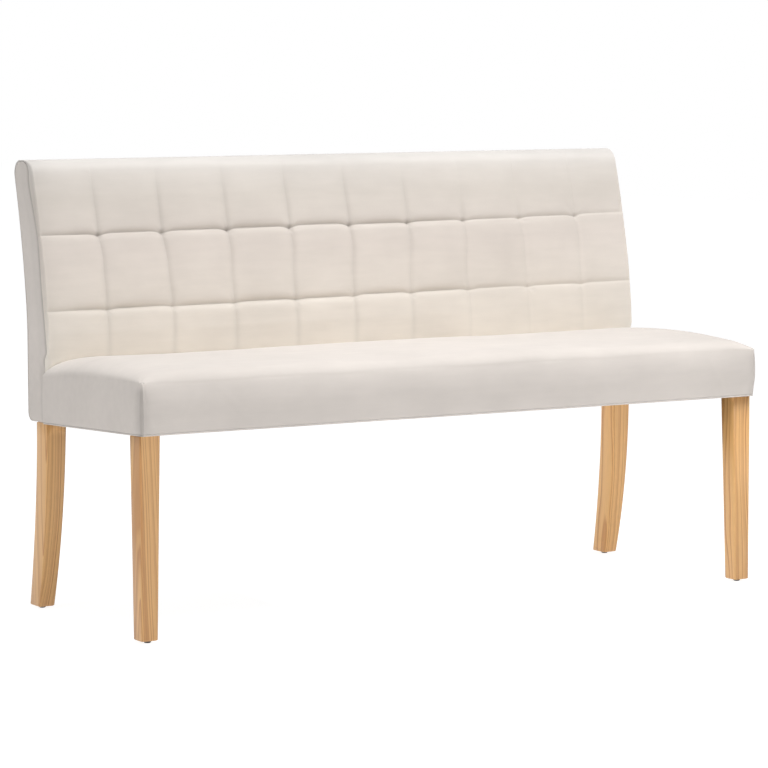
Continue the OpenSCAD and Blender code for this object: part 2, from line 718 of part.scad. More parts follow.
// Upright board of the back whose edges follow the profile, between two heights
function stile_in_at(j) = j <= crest ? stile_in : face_in;
function stile_front(from) = [for (j = [from : line_count - 1]) skin_point(j, stile_in_at(j))];
back_board_in = cover_t + rear_board_t;
module back_stile() {
    color(plywood) profile_slab(stile_x, strip_x, concat(
        [[back_foot, back_low], [back_foot, quilt_low]],
        stile_front(0),
        rear_line(back_board_in, base_rear + bottom_corner_r),
        rear_corner(back_board_in),
        [[back_rear - bottom_corner_r, back_low]]));
}
top_rail_h = 60;
top_rail_low = back_h - front_top_r - top_rail_h;
bottom_board_t = 18;
stile_line = [for (j = [0 : crest]) let (p = skin_point(j, stile_in)) [p[1], p[0]]];
function stile_front_at(z) = [lookup(z, stile_line), z];
module back_top_rail() {
    color(pine) profile_slab(-stile_x, stile_x, concat(
        [stile_front_at(top_rail_low)],
        [for (p = stile_front(0)) if (p[1] > top_rail_low) p],
        [for (p = rear_line(back_board_in, base_rear + bottom_corner_r)) if (p[1] > top_rail_low) p],
        [[rear_y(top_rail_low) - back_board_in, top_rail_low]]));
}
module back_bottom_rail() {
    color(pine) difference() {
        translate([-rear_stub_x0 + bolt_gap, back_foot, back_low])
            cube([2 * (rear_stub_x0 - bolt_gap), bottom_rail_t, back_rail_h]);
        back_bolt_places() clamp_shank(back_grip, bolt_gap);
        back_bolt_places() tee_barrel(back_grip, bolt_gap);
    }
}
module back_bottom_board() {
    color(plywood) translate([-rear_stub_x0 + bolt_gap, back_foot + bottom_rail_t, back_low])
        cube([2 * (rear_stub_x0 - bolt_gap), back_rear - bottom_corner_r - back_foot - bottom_rail_t,
              bottom_board_t]);
}
upright_t = 18;
module back_upright(k) {
    x = cross_x_shares[k] * inner_x;
    low = back_low + bottom_board_t;
    color(pine) profile_slab(x - upright_t / 2, x + upright_t / 2, concat(
        [[back_foot + bottom_rail_t, low]],
        [for (p = stile_front(0)) if (p[1] < top_rail_low && p[0] < back_rear) p],
        [stile_front_at(top_rail_low)],
        [[rear_y(top_rail_low) - back_board_in, top_rail_low]],
        [for (p = rear_line(back_board_in, low)) if (p[1] < top_rail_low) p]));
}
// Bent hardboard that the foam lies on, from the lower rail over the roll to the crest
module back_front_board() {
    color(hardboard) profile_slab(-strip_x, strip_x, concat(
        [for (j = [0 : crest]) skin_point(j, face_in)],
        [for (j = [crest : -1 : 0]) skin_point(j, stile_in)]));
}
module back_rear_board() {
    color(hardboard) profile_slab(-strip_x, strip_x, concat(
        rear_line(cover_t, base_rear + bottom_corner_r),
        reversed(rear_line(back_board_in, base_rear + bottom_corner_r))));
}
module back_foam() {
    color(foam_blue) profile_slab(-strip_x, strip_x, concat(
        [for (j = [0 : line_count - 1]) skin_point(j, quilt_t)],
        [for (j = [line_count - 1 : -1 : 0]) skin_point(j, face_in)]));
}

// Quilted cover: fabric sewn through its wadding in square tufts, plain on its inner side
module back_quilted_cover() {
    n = column_count;
    m = line_count;
    lap = strip_x - bolt_gap;
    outer = [for (j = [0 : m - 1], x = column_lines)
        let (l = skin_lines[j], d = tuft_height(j, x)) [x, l[0] + l[2] * d, l[1] + l[3] * d]];
    // Each line's inner points, from the left lip to the right lip
    function inner_line(j) = let (lip = skin_point(j, quilt_lip), deep = skin_point(j, quilt_t))
        [[-back_half_w, lip[0], lip[1]], [-lap, lip[0], lip[1]], [-lap, deep[0], deep[1]],
         [lap, deep[0], deep[1]], [lap, lip[0], lip[1]], [back_half_w, lip[0], lip[1]]];
    inner = [for (j = [0 : m - 1]) each inner_line(j)];
    first = n * m;
    k = 6;
    function end_faces(j, up) = let (o = j * n, i = first + j * k) concat(
        // The edge's left lip, its long middle and its right lip, closed as fans
        [for (f = [[o, i, i + 1], [o, i + 1, i + 2], [o + n - 1, i + 3, i + 4], [o + n - 1, i + 4, i + 5]])
            up ? [f[0], f[2], f[1]] : f],
        [for (c = [0 : n - 2]) let (f = [o + c, i + 2, o + c + 1]) up ? [f[0], f[2], f[1]] : f],
        [let (f = [o + n - 1, i + 2, i + 3]) up ? [f[0], f[2], f[1]] : f]);
    color(linen) polyhedron(
        points = concat(outer, inner),
        faces = concat(
            [for (j = [0 : m - 2], c = [0 : n - 2])
                let (a = j * n + c, b = a + 1, d = a + n, e = d + 1)
                each [[a, e, b], [a, d, e]]],
            [for (j = [0 : m - 2], c = [0 : k - 2])
                let (a = first + j * k + c, b = a + 1, d = a + k, e = d + 1)
                each [[a, b, e], [a, e, d]]],
            [for (j = [0 : m - 2]) let (a = j * n, i = first + j * k)
                each [[a, i + k, a + n], [a, i, i + k]]],
            [for (j = [0 : m - 2]) let (a = j * n + n - 1, i = first + j * k + k - 1)
                each [[a, a + n, i + k], [a, i + k, i]]],
            end_faces(0, true), end_faces(m - 1, false)),
        convexity = 8);
}

// Boxing strip that closes an end of the back
module back_side_strip() {
    color(linen) profile_slab(strip_x, back_half_w, concat(
        [[back_foot, base_rear], [back_foot, quilt_low]],
        [for (j = [0 : line_count - 1]) skin_point(j, quilt_lip)],
        rear_line(cover_t, base_rear + bottom_corner_r),
        rear_corner(cover_t)));
}

// Plain rear cover, turned under the lower corner
module back_rear_cover() {
    color(linen) profile_slab(-back_half_w, back_half_w, concat(
        rear_line(0, base_rear + bottom_corner_r),
        rear_corner(0),
        [[back_foot + bottom_rail_t, base_rear], [back_foot + bottom_rail_t, back_low]],
        reversed(rear_corner(cover_t)),
        reversed(rear_line(cover_t, base_rear + bottom_corner_r))));
}

mirror([1, 0, 0]) front_leg();  // front_leg_left
front_leg();  // front_leg_right
mirror([1, 0, 0]) rear_leg();  // rear_leg_left
rear_leg();  // rear_leg_right
glide_place(-front_glide[0], front_glide[1]) glide();  // glide_front_left
glide_place(front_glide[0], front_glide[1]) glide();  // glide_front_right
glide_place(-rear_glide[0], rear_glide[1]) glide();  // glide_rear_left
glide_place(rear_glide[0], rear_glide[1]) glide();  // glide_rear_right
seat_front_rail();
seat_rear_rail();
mirror([1, 0, 0]) seat_side_rail();  // seat_side_rail_left
seat_side_rail();  // seat_side_rail_right
seat_cross_rail(0);  // seat_cross_rail_left
seat_cross_rail(1);  // seat_cross_rail_middle
seat_cross_rail(2);  // seat_cross_rail_right
mirror([1, 0, 0]) corner_block_front();  // corner_block_front_left
corner_block_front();  // corner_block_front_right
mirror([1, 0, 0]) corner_block_rear();  // corner_block_rear_left
corner_block_rear();  // corner_block_rear_right
seat_board();
seat_edge_wadding();
seat_foam();
seat_cover();
dust_cover();
mirror([1, 0, 0]) back_stile();  // back_stile_left
back_stile();  // back_stile_right
back_upright(0);  // back_upright_left
back_upright(1);  // back_upright_middle
back_upright(2);  // back_upright_right
back_top_rail();
back_bottom_rail();
back_bottom_board();
back_front_board();
back_rear_board();
back_foam();
back_quilted_cover();
mirror([1, 0, 0]) back_side_strip();  // back_side_strip_left
back_side_strip();  // back_side_strip_right
back_rear_cover();
front_leg_bolts();
front_leg_washers();
front_leg_nuts();
rear_leg_bolts();
rear_leg_washers();
rear_leg_tee_nuts();
back_bolts();
back_washers();
back_tee_nuts();
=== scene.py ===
# %% [markdown]
# # An upholstered dining bench with a tufted back
# The bench has a wooden frame inside, a crowned box seat, a leaning back sewn in square tufts, two tapered
# front legs and two sabre rear legs in pine. The frame that was packed from the CAD model gives every piece
# its size and place. This lesson dresses it: each soft piece becomes a surface that is worked out by
# formula, and each finish is built from procedural nodes.

# %% Load the frame
import json
import bpy
import bmesh
import numpy as np
from mathutils import Matrix, Vector


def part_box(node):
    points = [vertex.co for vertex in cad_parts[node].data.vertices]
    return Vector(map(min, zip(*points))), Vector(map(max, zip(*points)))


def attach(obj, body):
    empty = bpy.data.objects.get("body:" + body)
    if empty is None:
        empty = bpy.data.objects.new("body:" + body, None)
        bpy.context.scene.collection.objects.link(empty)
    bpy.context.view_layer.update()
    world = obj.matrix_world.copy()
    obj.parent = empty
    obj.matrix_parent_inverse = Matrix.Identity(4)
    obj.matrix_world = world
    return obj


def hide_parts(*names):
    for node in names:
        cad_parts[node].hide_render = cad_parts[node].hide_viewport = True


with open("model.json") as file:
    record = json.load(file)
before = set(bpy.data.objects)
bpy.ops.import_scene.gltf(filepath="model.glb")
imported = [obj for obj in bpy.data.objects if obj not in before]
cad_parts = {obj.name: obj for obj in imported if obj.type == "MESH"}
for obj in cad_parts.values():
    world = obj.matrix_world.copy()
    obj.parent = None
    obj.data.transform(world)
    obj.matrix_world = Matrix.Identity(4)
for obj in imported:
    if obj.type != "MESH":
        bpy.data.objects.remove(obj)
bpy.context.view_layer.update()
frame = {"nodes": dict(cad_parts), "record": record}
MM = 0.001

# %% [markdown]
# ## Sizes
# A maker works from a few driving sizes. Those that the frame knows are read from its boxes. The rest, such
# as how far the crown rises, are the same values that shaped the hidden foam.

# %% Sizes of the seat
seat_low, seat_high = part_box("seat_cover")
half_w = seat_high[0]
seat_front = seat_low[1]
seat_rear = seat_high[1]
base_rear = seat_low[2]
base_drop = 14.5 * MM
base_h = base_rear + base_drop
cover_t = 1.2 * MM
rim_z = base_h + 95 * MM
roll_z = rim_z + 17 * MM
crown = 13 * MM
front_roll = 45 * MM
rear_roll = 12 * MM
end_roll = 95 * MM
end_drop = 21 * MM
seat_corner_r = 7 * MM


def lower_z(y):
    """Height of the upholstery's lower edge, which falls evenly from the front to the back."""
    return base_h - base_drop * (y - seat_front) / (seat_rear - seat_front)


print("seat", round(2 * half_w, 3), "m long, its rim at", round(rim_z, 3), "m")

# %% Sizes of the back
_, quilt_high_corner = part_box("back_quilted_cover")
back_half_w = quilt_high_corner[0]
back_h = quilt_high_corner[2]
overall_half_d = -seat_front
back_foot = seat_rear + 0.3 * MM
back_front = seat_rear - 10 * MM
back_rear = back_front + 92.5 * MM
back_top_t = 77 * MM
front_top_r = 34 * MM
rear_top_r = 25 * MM
bottom_corner_r = 17 * MM
print("back", round(2 * back_half_w, 3), "m long and", round(back_h, 3), "m high")

# %% [markdown]
# ## Helpers for laying meshes
# Every new piece is a grid of points: rows along one parameter and columns along the other. The quads
# between neighbouring rows and columns make the surface, and one helper puts points and faces into a mesh.

# %% Grid helpers
def grid_quads(rows, cols, wrap=False, start=0):
    """Quads of a grid of points stored row by row; wrap joins the last column to the first."""
    r, c = np.meshgrid(np.arange(rows - 1), np.arange(cols if wrap else cols - 1), indexing="ij")
    here = start + r * cols + c
    right = start + r * cols + (c + 1) % cols
    return np.stack([here, right, right + cols, here + cols], axis=-1).reshape(-1, 4)


def border(rows, cols):
    """Numbers of the points round a grid: first row, last column, last row back, first column back."""
    grid = np.arange(rows * cols).reshape(rows, cols)
    return np.concatenate([grid[0, :-1], grid[:-1, -1], grid[-1, :0:-1], grid[:0:-1, 0]])


def run_along(line):
    """Length along a line of points up to each of them: the running sum of the steps between them."""
    return np.concatenate([[0], np.cumsum(np.linalg.norm(np.diff(line, axis=0), axis=1))])


print("a grid of 3 by 4 points has", len(grid_quads(3, 4)), "quads and", len(border(3, 4)), "border points")

# %% [markdown]
# Merging and cutting are work for bmesh. Laying a surface takes from_pydata and smooth shading.

# %% Mesh helpers
weld = 0.02 * MM  # points nearer than this are one point


def rework(mesh, change):
    """Opens a mesh in bmesh, lets a function change it there, and puts it back."""
    work = bmesh.new()
    work.from_mesh(mesh)
    change(work)
    work.to_mesh(mesh)
    work.free()
    mesh.update()


def merge_close(work):
    """Merges points that lie closer than the weld distance and drops the faces that vanish with them."""
    bmesh.ops.remove_doubles(work, verts=work.verts, dist=weld)
    bmesh.ops.dissolve_degenerate(work, edges=work.edges, dist=weld)


def link_mesh(name, mesh):
    """Makes an object at the origin from a mesh, shaded smooth."""
    mesh.polygons.foreach_set("use_smooth", [True] * len(mesh.polygons))
    piece = bpy.data.objects.new(name, mesh)
    bpy.context.scene.collection.objects.link(piece)
    return piece


def lay_mesh(name, points, faces):
    """Makes an object from an array of points and lists of faces."""
    mesh = bpy.data.meshes.new(name)
    mesh.from_pydata(np.asarray(points).reshape(-1, 3).tolist(), [], [list(map(int, f)) for f in faces])
    mesh.validate()
    mesh.update()
    return link_mesh(name, mesh)


print("points nearer than", weld, "m are merged")

# %% [markdown]
# Soft shapes are sums of a few plain curves: a smooth step, a rounded ridge and slow waves. They are
# written once here and used for folds, seams and tones alike.

# %% Curves
def soft_step(value, low, high):
    """Smooth ramp from 0 at low to 1 at high: three squares less two cubes of the share between them."""
    s = np.clip((value - low) / (high - low), 0, 1)
    return s * s * (3 - 2 * s)


def ridge(distance, width):
    """A rounded bump across a line: 1 on the line, falling off over the width as a bell curve."""
    return np.exp(-(distance / width) ** 2)


def drift(x, y, waves):
    """Slow unevenness of a hand-covered surface: a sum of sines, each with length, turn, phase and height."""
    total = 0.0
    for length, turn, phase, height in waves:
        total = total + height * np.sin(2 * np.pi * (x * np.cos(turn) + y * np.sin(turn)) / length + phase)
    return total


def roll_share(t):
    """Share of the full height that a quarter ellipse reaches at a share of its reach."""
    t = np.clip(t, 0, 1)
    return np.sqrt(np.maximum(0, 1 - (1 - t) ** 2))


def ridges(distance, rows):
    """A sum of ridges beside a line, each with its place, its width and its height."""
    return sum(height * ridge(distance - place, width) for place, width, height in rows)


print("half way along a roll it has", round(float(roll_share(0.5)), 3), "of its height")

# %% [markdown]
# Each piece hides the CAD nodes it stands for, gets its finish, and rides on the bench. The covers also
# carry a value at each point: painted shade that darkens the pile, and below nought painted light.

# %% Dressing helpers
# limits of the painted shade; below nought it is painted light
lightest_shade = -0.15
darkest_shade = 0.6


def point_layer(mesh, name, kind, field, values):
    """Stores one value for each point of a mesh, for a material to read."""
    layer = mesh.attributes.new(name, kind, "POINT")
    layer.data.foreach_set(field, np.asarray(values).astype(np.float32).ravel())


def paint_shade(piece, amounts):
    """Stores the painted shade at each point, which darkens the pile; below nought it is painted light."""
    point_layer(piece.data, "shade", "FLOAT", "value", np.clip(amounts, lightest_shade, darkest_shade))


def dress(piece, node_names, material, thickness=0.0):
    """Rides a piece on the bench, hides the CAD nodes it stands for, and gives it its finish."""
    if thickness:
        wall = piece.modifiers.new("cloth thickness", "SOLIDIFY")
        wall.thickness = thickness
        wall.offset = -1
    piece.data.materials.clear()
    piece.data.materials.append(material)
    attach(piece, "root")
    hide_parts(*node_names)
    print(piece.name, len(piece.data.vertices), "points,", len(piece.data.polygons), "faces")
    return piece


print("the shade runs from", lightest_shade, "to", darkest_shade)

# %% [markdown]
# ## Finishes
# A material is a small network of nodes that reads the place on the object. A helper adds a node and fills
# its sockets at once: a constant goes straight onto a socket, and a pair of a node and an output is linked
# to it.

# %% Two helpers for a node tree
def node_tools(tree):
    """The two helpers of a node tree: add makes a node and returns its output pair, feed fills its sockets."""
    def feed(node, sockets):
        """Links a socket to an output pair, or writes a constant on it."""
        for socket, value in sockets.items():
            if isinstance(value, tuple) and isinstance(value[0], bpy.types.Node):
                tree.links.new(value[0].outputs[value[1]], node.inputs[socket])
            else:
                node.inputs[socket].default_value = value

    def add(kind, output, sockets, **settings):
        """Makes a node with its settings and its sockets filled, and names the output to use."""
        node = tree.nodes.new("ShaderNode" + kind)
        for key, value in settings.items():
            setattr(node, key, value)
        feed(node, sockets)
        return node, output

    return add, feed


def new_material(name):
    """An empty node material, its shader and its two helpers."""
    material = bpy.data.materials.new(name)
    material.use_nodes = True
    add, feed = node_tools(material.node_tree)
    return material, material.node_tree.nodes["Principled BSDF"], add, feed


print("a new material comes with its shader and two helpers")

# %% [markdown]
# The same few nodes come up in every finish: cloudy noise, a sum, a span taken to another span, a ramp of
# colours and a bump. Each gets a short name, so that a finish reads like a recipe.

# %% Short names for common nodes
def noise(add, vector, scale, detail, roughness):
    """Cloudy grey noise at a vector."""
    sockets = {"Vector": vector, "Scale": scale, "Detail": detail, "Roughness": roughness}
    return add("TexNoise", "Fac", sockets)


def maths(add, operation, *values):
    """One sum on numbers or outputs."""
    return add("Math", "Value", dict(enumerate(values)), operation=operation)


def vector_maths(add, operation, output, *values):
    """One sum on vectors."""
    return add("VectorMath", output, dict(enumerate(values)), operation=operation)


def remap(add, value, low, high, to_low, to_high):
    """Takes the span from low to high to another span, and holds its ends."""
    sockets = {"Value": value, "From Min": low, "From Max": high, "To Min": to_low, "To Max": to_high}
    return add("MapRange", "Result", sockets)


def colour_ramp(add, value, stops):
    """Colours between stops of a place and its red, green and blue."""
    node, output = add("ValToRGB", "Color", {"Fac": value})
    elements = node.color_ramp.elements
    while len(elements) > 1:
        elements.remove(elements[-1])
    elements[0].position = stops[0][0]
    elements[0].color = (*stops[0][1:], 1)
    for place, *colour in stops[1:]:
        elements.new(place).color = (*colour, 1)
    return node, output


def bumped(add, value, strength, distance):
    """A bump of the shader's normal by a grey value."""
    return add("Bump", "Normal", {"Strength": strength, "Distance": distance, "Height": value})


print("shortcuts: noise, sums, spans, colour ramps and bumps")

# %% [markdown]
# The cover is a short-pile cream fabric. Its pile lies a little differently from patch to patch, which
# shows as soft light and dark drifts, and it has a sheen at grazing angles. The value stored on the points
# is painted shade that darkens it, and below nought painted light.

# %% The cream pile fabric
def cream_fabric(name, levels):
    """Short pile: a tone by height, times patches, streaks from the brush and fibre ends, less the painted
    shade.
    """
    material, shader, add, feed = new_material(name)
    place = add("TexCoord", "Object", {})
    brush = add("Mapping", "Vector", {"Vector": place, "Scale": (9.0, 60.0, 60.0)})
    patches = noise(add, place, 7.0, 3.0, 0.55)
    streaks = noise(add, brush, 1.0, 4.0, 0.6)
    fibre = noise(add, place, 1400.0, 2.0, 0.7)
    brushed = add("Mix", 0, {0: 0.38, 2: patches, 3: streaks}, data_type="FLOAT")
    blended = add("Mix", 0, {0: 0.18, 2: brushed, 3: fibre}, data_type="FLOAT")
    pile = remap(add, blended, 0.30, 0.72, 0.925, 1.075)
    # painted shade and painted light stored on the points
    painted_shade = add("Attribute", "Fac", {}, attribute_name="shade")
    pile_and_painted_shade = maths(add, "MULTIPLY", pile, maths(add, "SUBTRACT", 1.0, painted_shade))
    height = add("SeparateXYZ", "Z", {"Vector": place})
    base = colour_ramp(add, height, levels)
    tone = add("VectorMath", "Vector", {0: base, "Scale": pile_and_painted_shade}, operation="SCALE")
    feed(shader, {"Base Color": tone, "Normal": bumped(add, fibre, 0.16, 0.0004), "Roughness": 0.92,
                  "Specular IOR Level": 0.22, "Sheen Weight": 0.28, "Sheen Roughness": 0.42})
    return material


# painted light: the back's tone is painted lighter and warmer low down, where the seat shades it and
# throws warm light onto it, and darker and cooler higher up and over the roll
cream = cream_fabric("cream velvet", [(0.0, 0.700, 0.647, 0.603)])
back_velvet_painted_light = cream_fabric("cream velvet of the back", [
    (0.48, 0.840, 0.785, 0.705), (0.60, 0.725, 0.665, 0.600), (0.70, 0.665, 0.603, 0.552),
    (0.80, 0.610, 0.562, 0.512), (0.84, 0.640, 0.597, 0.552), (0.862, 0.665, 0.630, 0.595),
    (0.88, 0.655, 0.625, 0.595)])
print("fabrics:", cream.name, "and", back_velvet_painted_light.name)

# %% [markdown]
# Pine shows its growth rings: pale early wood and narrow darker late wood. A board cut from a trunk is a
# slice through nested rings, so the pattern here is rings round an axis that runs along the leg, a hand's
# breadth outside it, pulled about by slow noise. The end grain then comes out right by itself. The legs
# read their own grain coordinates, so each looks cut from its own plank.

# %% Growth rings
def growth_rings(add, place, centre, ring_size):
    """Darkness of the late wood: distance from the axis in ring widths, its fraction run through a ramp."""
    shift = add("Mapping", "Vector", {"Vector": place, "Location": centre, "Scale": (1.0, 1.0, 0.06)})
    wander, _ = noise(add, shift, 14.0, 2.0, 0.45)
    pull = vector_maths(add, "MULTIPLY_ADD", "Vector", (wander, "Color"), (0.03, 0.03, 0.0), shift)
    flat = vector_maths(add, "MULTIPLY", "Vector", pull, (1.0, 1.0, 0.0))
    radius = vector_maths(add, "LENGTH", "Value", flat)
    years = maths(add, "MULTIPLY", radius, 1 / ring_size)
    uneven = add("TexNoise", "Fac", {"W": years, "Scale": 0.7, "Detail": 1.0}, noise_dimensions="1D")
    within = maths(add, "FRACT", maths(add, "MULTIPLY_ADD", uneven, 1.6, years))
    line = colour_ramp(add, within, [(0.0, 0, 0, 0), (0.45, 0.10, 0.10, 0.10), (0.80, 0.85, 0.85, 0.85),
                                     (0.90, 1, 1, 1), (0.97, 0, 0, 0)])
    strength = add("TexNoise", "Fac", {"W": years, "Scale": 0.45, "Detail": 2.0}, noise_dimensions="1D")
    return maths(add, "MULTIPLY", line, remap(add, strength, 0.30, 0.65, 0.30, 1.0))


print("late wood takes the last fifth of each year's ring")

# %% [markdown]
# The rings then blend two colours, the pale early wood and the darker late wood, and fine pores run along
# the grain. A leg reads its own grain places and its own tone, which are stored on its points, so that no
# two legs look cut from one board. The tone also holds painted light: the right rear leg, in the seat's
# shade, is painted lighter.

# %% Ringed wood
def ringed_wood(name, early, late, ring_size, centre, roughness, coat=0.0, own_grain=False):
    """Early and late wood mixed by the rings, times fine pores along the grain, under a lacquer coat."""
    material, shader, add, feed = new_material(name)
    place = add("TexCoord", "Object", {})
    if own_grain:
        place = add("Attribute", "Vector", {}, attribute_name="grain")
    rings = growth_rings(add, place, centre, ring_size)
    wood = add("Mix", 2, {0: rings, 6: (*early, 1), 7: (*late, 1)}, data_type="RGBA")
    pore_map = add("Mapping", "Vector", {"Vector": place, "Scale": (520.0, 520.0, 12.0)})
    pores = noise(add, pore_map, 1.0, 3.0, 0.65)
    scale = remap(add, pores, 0.35, 0.75, 1.04, 0.92)
    if own_grain:
        # the leg's own tone, with painted light on the leg in the seat's shade
        plank_tone_and_painted_light = add("Attribute", "Fac", {}, attribute_name="plank_tone_and_painted_light")
        scale = maths(add, "MULTIPLY", scale, plank_tone_and_painted_light)
    tone = add("VectorMath", "Vector", {0: wood, "Scale": scale}, operation="SCALE")
    feed(shader, {"Base Color": tone, "Normal": bumped(add, pores, 0.12, 0.0003), "Roughness": roughness,
                  "Coat Weight": coat, "Coat Roughness": 0.35})
    return material


leg_pine = ringed_wood("lacquered pine", (0.756, 0.434, 0.165), (0.430, 0.162, 0.040), 6.2 * MM,
                       (0.10, 0.055, 0.0), 0.42, coat=0.40, own_grain=True)
sawn_pine = ringed_wood("sawn pine", (0.66, 0.49, 0.29), (0.46, 0.29, 0.14), 6 * MM, (0.2, 0.1, 0.3), 0.75)
plywood = ringed_wood("sanded plywood", (0.62, 0.46, 0.27), (0.48, 0.33, 0.18), 12 * MM, (0.3, 0.6, 0.1), 0.7)
print("woods:", leg_pine.name, sawn_pine.name, plywood.name)

# %% [markdown]
# The pieces that stay hidden still get real finishes, because the model can be taken apart: brown
# hardboard, foam with open cells, fluffy wadding, black felt, grey nylon and bright zinc.

# %% Foam, felt, nylon, zinc and hardboard
def speckled(name, low, high, scale, roughness, bump_depth, metallic=0.0):
    """A two-tone noise finish with a matching bump."""
    material, shader, add, feed = new_material(name)
    grain = noise(add, add("TexCoord", "Object", {}), scale, 4.0, 0.6)
    ramp = colour_ramp(add, grain, [(0.35, *low), (0.68, *high)])
    feed(shader, {"Base Color": ramp, "Normal": bumped(add, grain, 0.3, bump_depth),
                  "Roughness": roughness, "Metallic": metallic})
    return material


finishes = {
    "cream_velvet": cream,
    "oiled_pine": leg_pine,
    "frame_pine": sawn_pine,
    "plywood": plywood,
    "hardboard": speckled("brown hardboard", (0.14, 0.075, 0.04), (0.21, 0.12, 0.065), 900, 0.6, 0.0001),
    "foam": speckled("open foam", (0.62, 0.59, 0.44), (0.76, 0.73, 0.58), 1600, 0.95, 0.0006),
    "wadding": speckled("polyester wadding", (0.72, 0.72, 0.69), (0.86, 0.86, 0.83), 260, 1.0, 0.001),
    "black_felt": speckled("black felt", (0.01, 0.01, 0.01), (0.03, 0.03, 0.03), 1200, 0.95, 0.0002),
    "grey_nylon": speckled("grey nylon", (0.04, 0.037, 0.034), (0.06, 0.056, 0.052), 500, 0.45, 0.00005),
    "zinc_steel": speckled("bright zinc", (0.52, 0.53, 0.55), (0.62, 0.63, 0.65), 300, 0.32, 0.00003, 1.0),
}
print("finishes:", ", ".join(finishes))

# %% [markdown]
# The record of the frame says which finish each CAD node has, so one loop dresses all those that stay.

# %% Finish the CAD nodes that stay
slot_of = {s["node"]: s["material_slot"] for s in frame["record"]["subparts"]}
for node_name, node in frame["nodes"].items():
    node.data.materials.clear()
    node.data.materials.append(finishes[slot_of[node_name]])
print(len(slot_of), "nodes have their finish")

# %% [markdown]
# ## The seat
# The seat is a foam block on a board, with wadding round its edges, pulled tight under a fabric cover. Its
# height over any point of the plan is a product of quarter-ellipse rolls, one for each edge, times a slow
# crown. The same rule shaped the hidden foam, so the cover lands on it.

# %% The seat's height as a formula
def leaning_roll(t, start=0.015):
    """The quarter ellipse begun a little above its upright end, so it meets a face that leans back."""
    return (roll_share(start + (1 - start) * np.clip(t, 0, 1)) - roll_share(start)) / (1 - roll_share(start))


def seat_height(x, y):
    """Height of the crowned seat: front and rear rolls over a crown, lowered to the rim along both ends."""
    from_front = np.maximum(y - seat_front, 0)
    from_rear = np.maximum(seat_rear - y, 0)
    from_end = np.maximum(half_w - np.abs(x), 0)
    s = from_front / (from_front + from_rear)
    full = roll_z + crown * (1 - (2 * s - 1) ** 2)
    rolls = leaning_roll(from_front / front_roll) * roll_share(from_rear / rear_roll)
    section = rim_z + (full - rim_z) * rolls
    end = rim_z - end_drop * s ** 2
    return end + (section - end) * roll_share(from_end / end_roll)


print("the seat's middle is", round(float(seat_height(0.0, 0.0)), 3), "m high")

# %% [markdown]
# A roll needs its points close together where it is steep, and the flat needs few. Steps by the cosine of
# an even turn do that, and join evenly spaced steps on the flat.

# %% Places of the seat's grid
def rolled_places(length, low_roll, low_steps, high_roll, high_steps, step):
    """Places from edge to edge: close together on both rolls, evenly spaced on the flat between them."""
    low = low_roll * (1 - np.cos(np.linspace(0, np.pi / 2, low_steps + 1)))
    high = high_roll * (1 - np.cos(np.linspace(0, np.pi / 2, high_steps + 1)))
    count = int(round((length - low_roll - high_roll) / step))
    middle = np.linspace(low_roll, length - high_roll, count + 1)[1:-1]
    return np.concatenate([low, middle, length - high[::-1]])


seat_step = 6 * MM
end_steps_n = 34
front_steps_n = 26
rear_steps_n = 8
xs = -half_w + rolled_places(2 * half_w, end_roll, end_steps_n, end_roll, end_steps_n, seat_step)
ys = seat_front + rolled_places(seat_rear - seat_front, front_roll, front_steps_n, rear_roll, rear_steps_n,
                                seat_step)
print("seat grid:", len(xs), "by", len(ys))

# %% [markdown]
# The grid is rectangular, but the seat's corners are round. Inside each corner's square the grid is pressed
# onto a quarter disc, by the usual rule that takes a square to a disc, so its outermost points land on the
# round corner.

# %% The top over the plan
def round_corners(x, y):
    """Moves points near each corner of the plan so that the square corner becomes a quarter circle."""
    r = seat_corner_r
    a = np.clip((np.abs(x) - (half_w - r)) / r, 0, 1)
    mid = (seat_front + seat_rear) / 2
    half_d = (seat_rear - seat_front) / 2
    b = np.clip((np.abs(y - mid) - (half_d - r)) / r, 0, 1)
    new_a = a * np.sqrt(1 - b ** 2 / 2)
    new_b = b * np.sqrt(1 - a ** 2 / 2)
    return x + np.sign(x) * r * (new_a - a), y + np.sign(y - mid) * r * (new_b - b)


rear_calm = 30 * MM  # no waves nearer the back than this
plan_x, plan_y = np.meshgrid(xs, ys)
plan_x, plan_y = round_corners(plan_x, plan_y)
end_share = roll_share((half_w - np.abs(plan_x)) / end_roll)
inside = end_share * roll_share((plan_y - seat_front) / front_roll)
inside = inside * roll_share((seat_rear - plan_y) / rear_calm)
# length in metres, turn and phase in radians, and height of each wave
unevenness = [(0.61, 0.3, 1.0, 0.9 * MM), (0.37, 1.2, 4.0, 0.6 * MM),
              (0.23, 2.2, 2.0, 0.35 * MM), (0.14, 0.8, 5.0, 0.2 * MM)]
top_z = seat_height(plan_x, plan_y) + inside * drift(plan_x, plan_y, unevenness)
print("top from", round(float(top_z.min()), 3), "to", round(float(top_z.max()), 3), "m")

# %% [markdown]
# A stuffed seat settles. The crown stays full close to the right end and has sunk a little towards the left
# end, along the back. The front and the left end lean back a little under the rim, and the right end is
# stuffed a little wider than drawn, down to its hem.

# %% The settled crown
full_crown = 2.2 * MM
full_crown_in = 42 * MM
full_crown_w = 38 * MM
full_crown_end = 30 * MM
sunk_crown = 4 * MM
sunk_along = (100 * MM, 550 * MM)  # from nothing to all of it, towards the left end
sunk_across = (-150 * MM, 100 * MM)  # and towards the back
from_right_end = half_w - plan_x
full_share = ridge(from_right_end - full_crown_in, full_crown_w) * roll_share(from_right_end / full_crown_end)
top_z += full_crown * full_share
top_z -= sunk_crown * soft_step(-plan_x, *sunk_along) * soft_step(plan_y, *sunk_across) * end_share
print("the top lies from", round(float(top_z.min()), 3), "to", round(float(top_z.max()), 3), "m high")

# %% [markdown]
# The foam's front edge gives as people sit down, so the front leans back under its rim, and the left end a
# little too. The right end has stayed fuller. Each change is a length times shares that fade with the
# distance in from the rim and down from it.

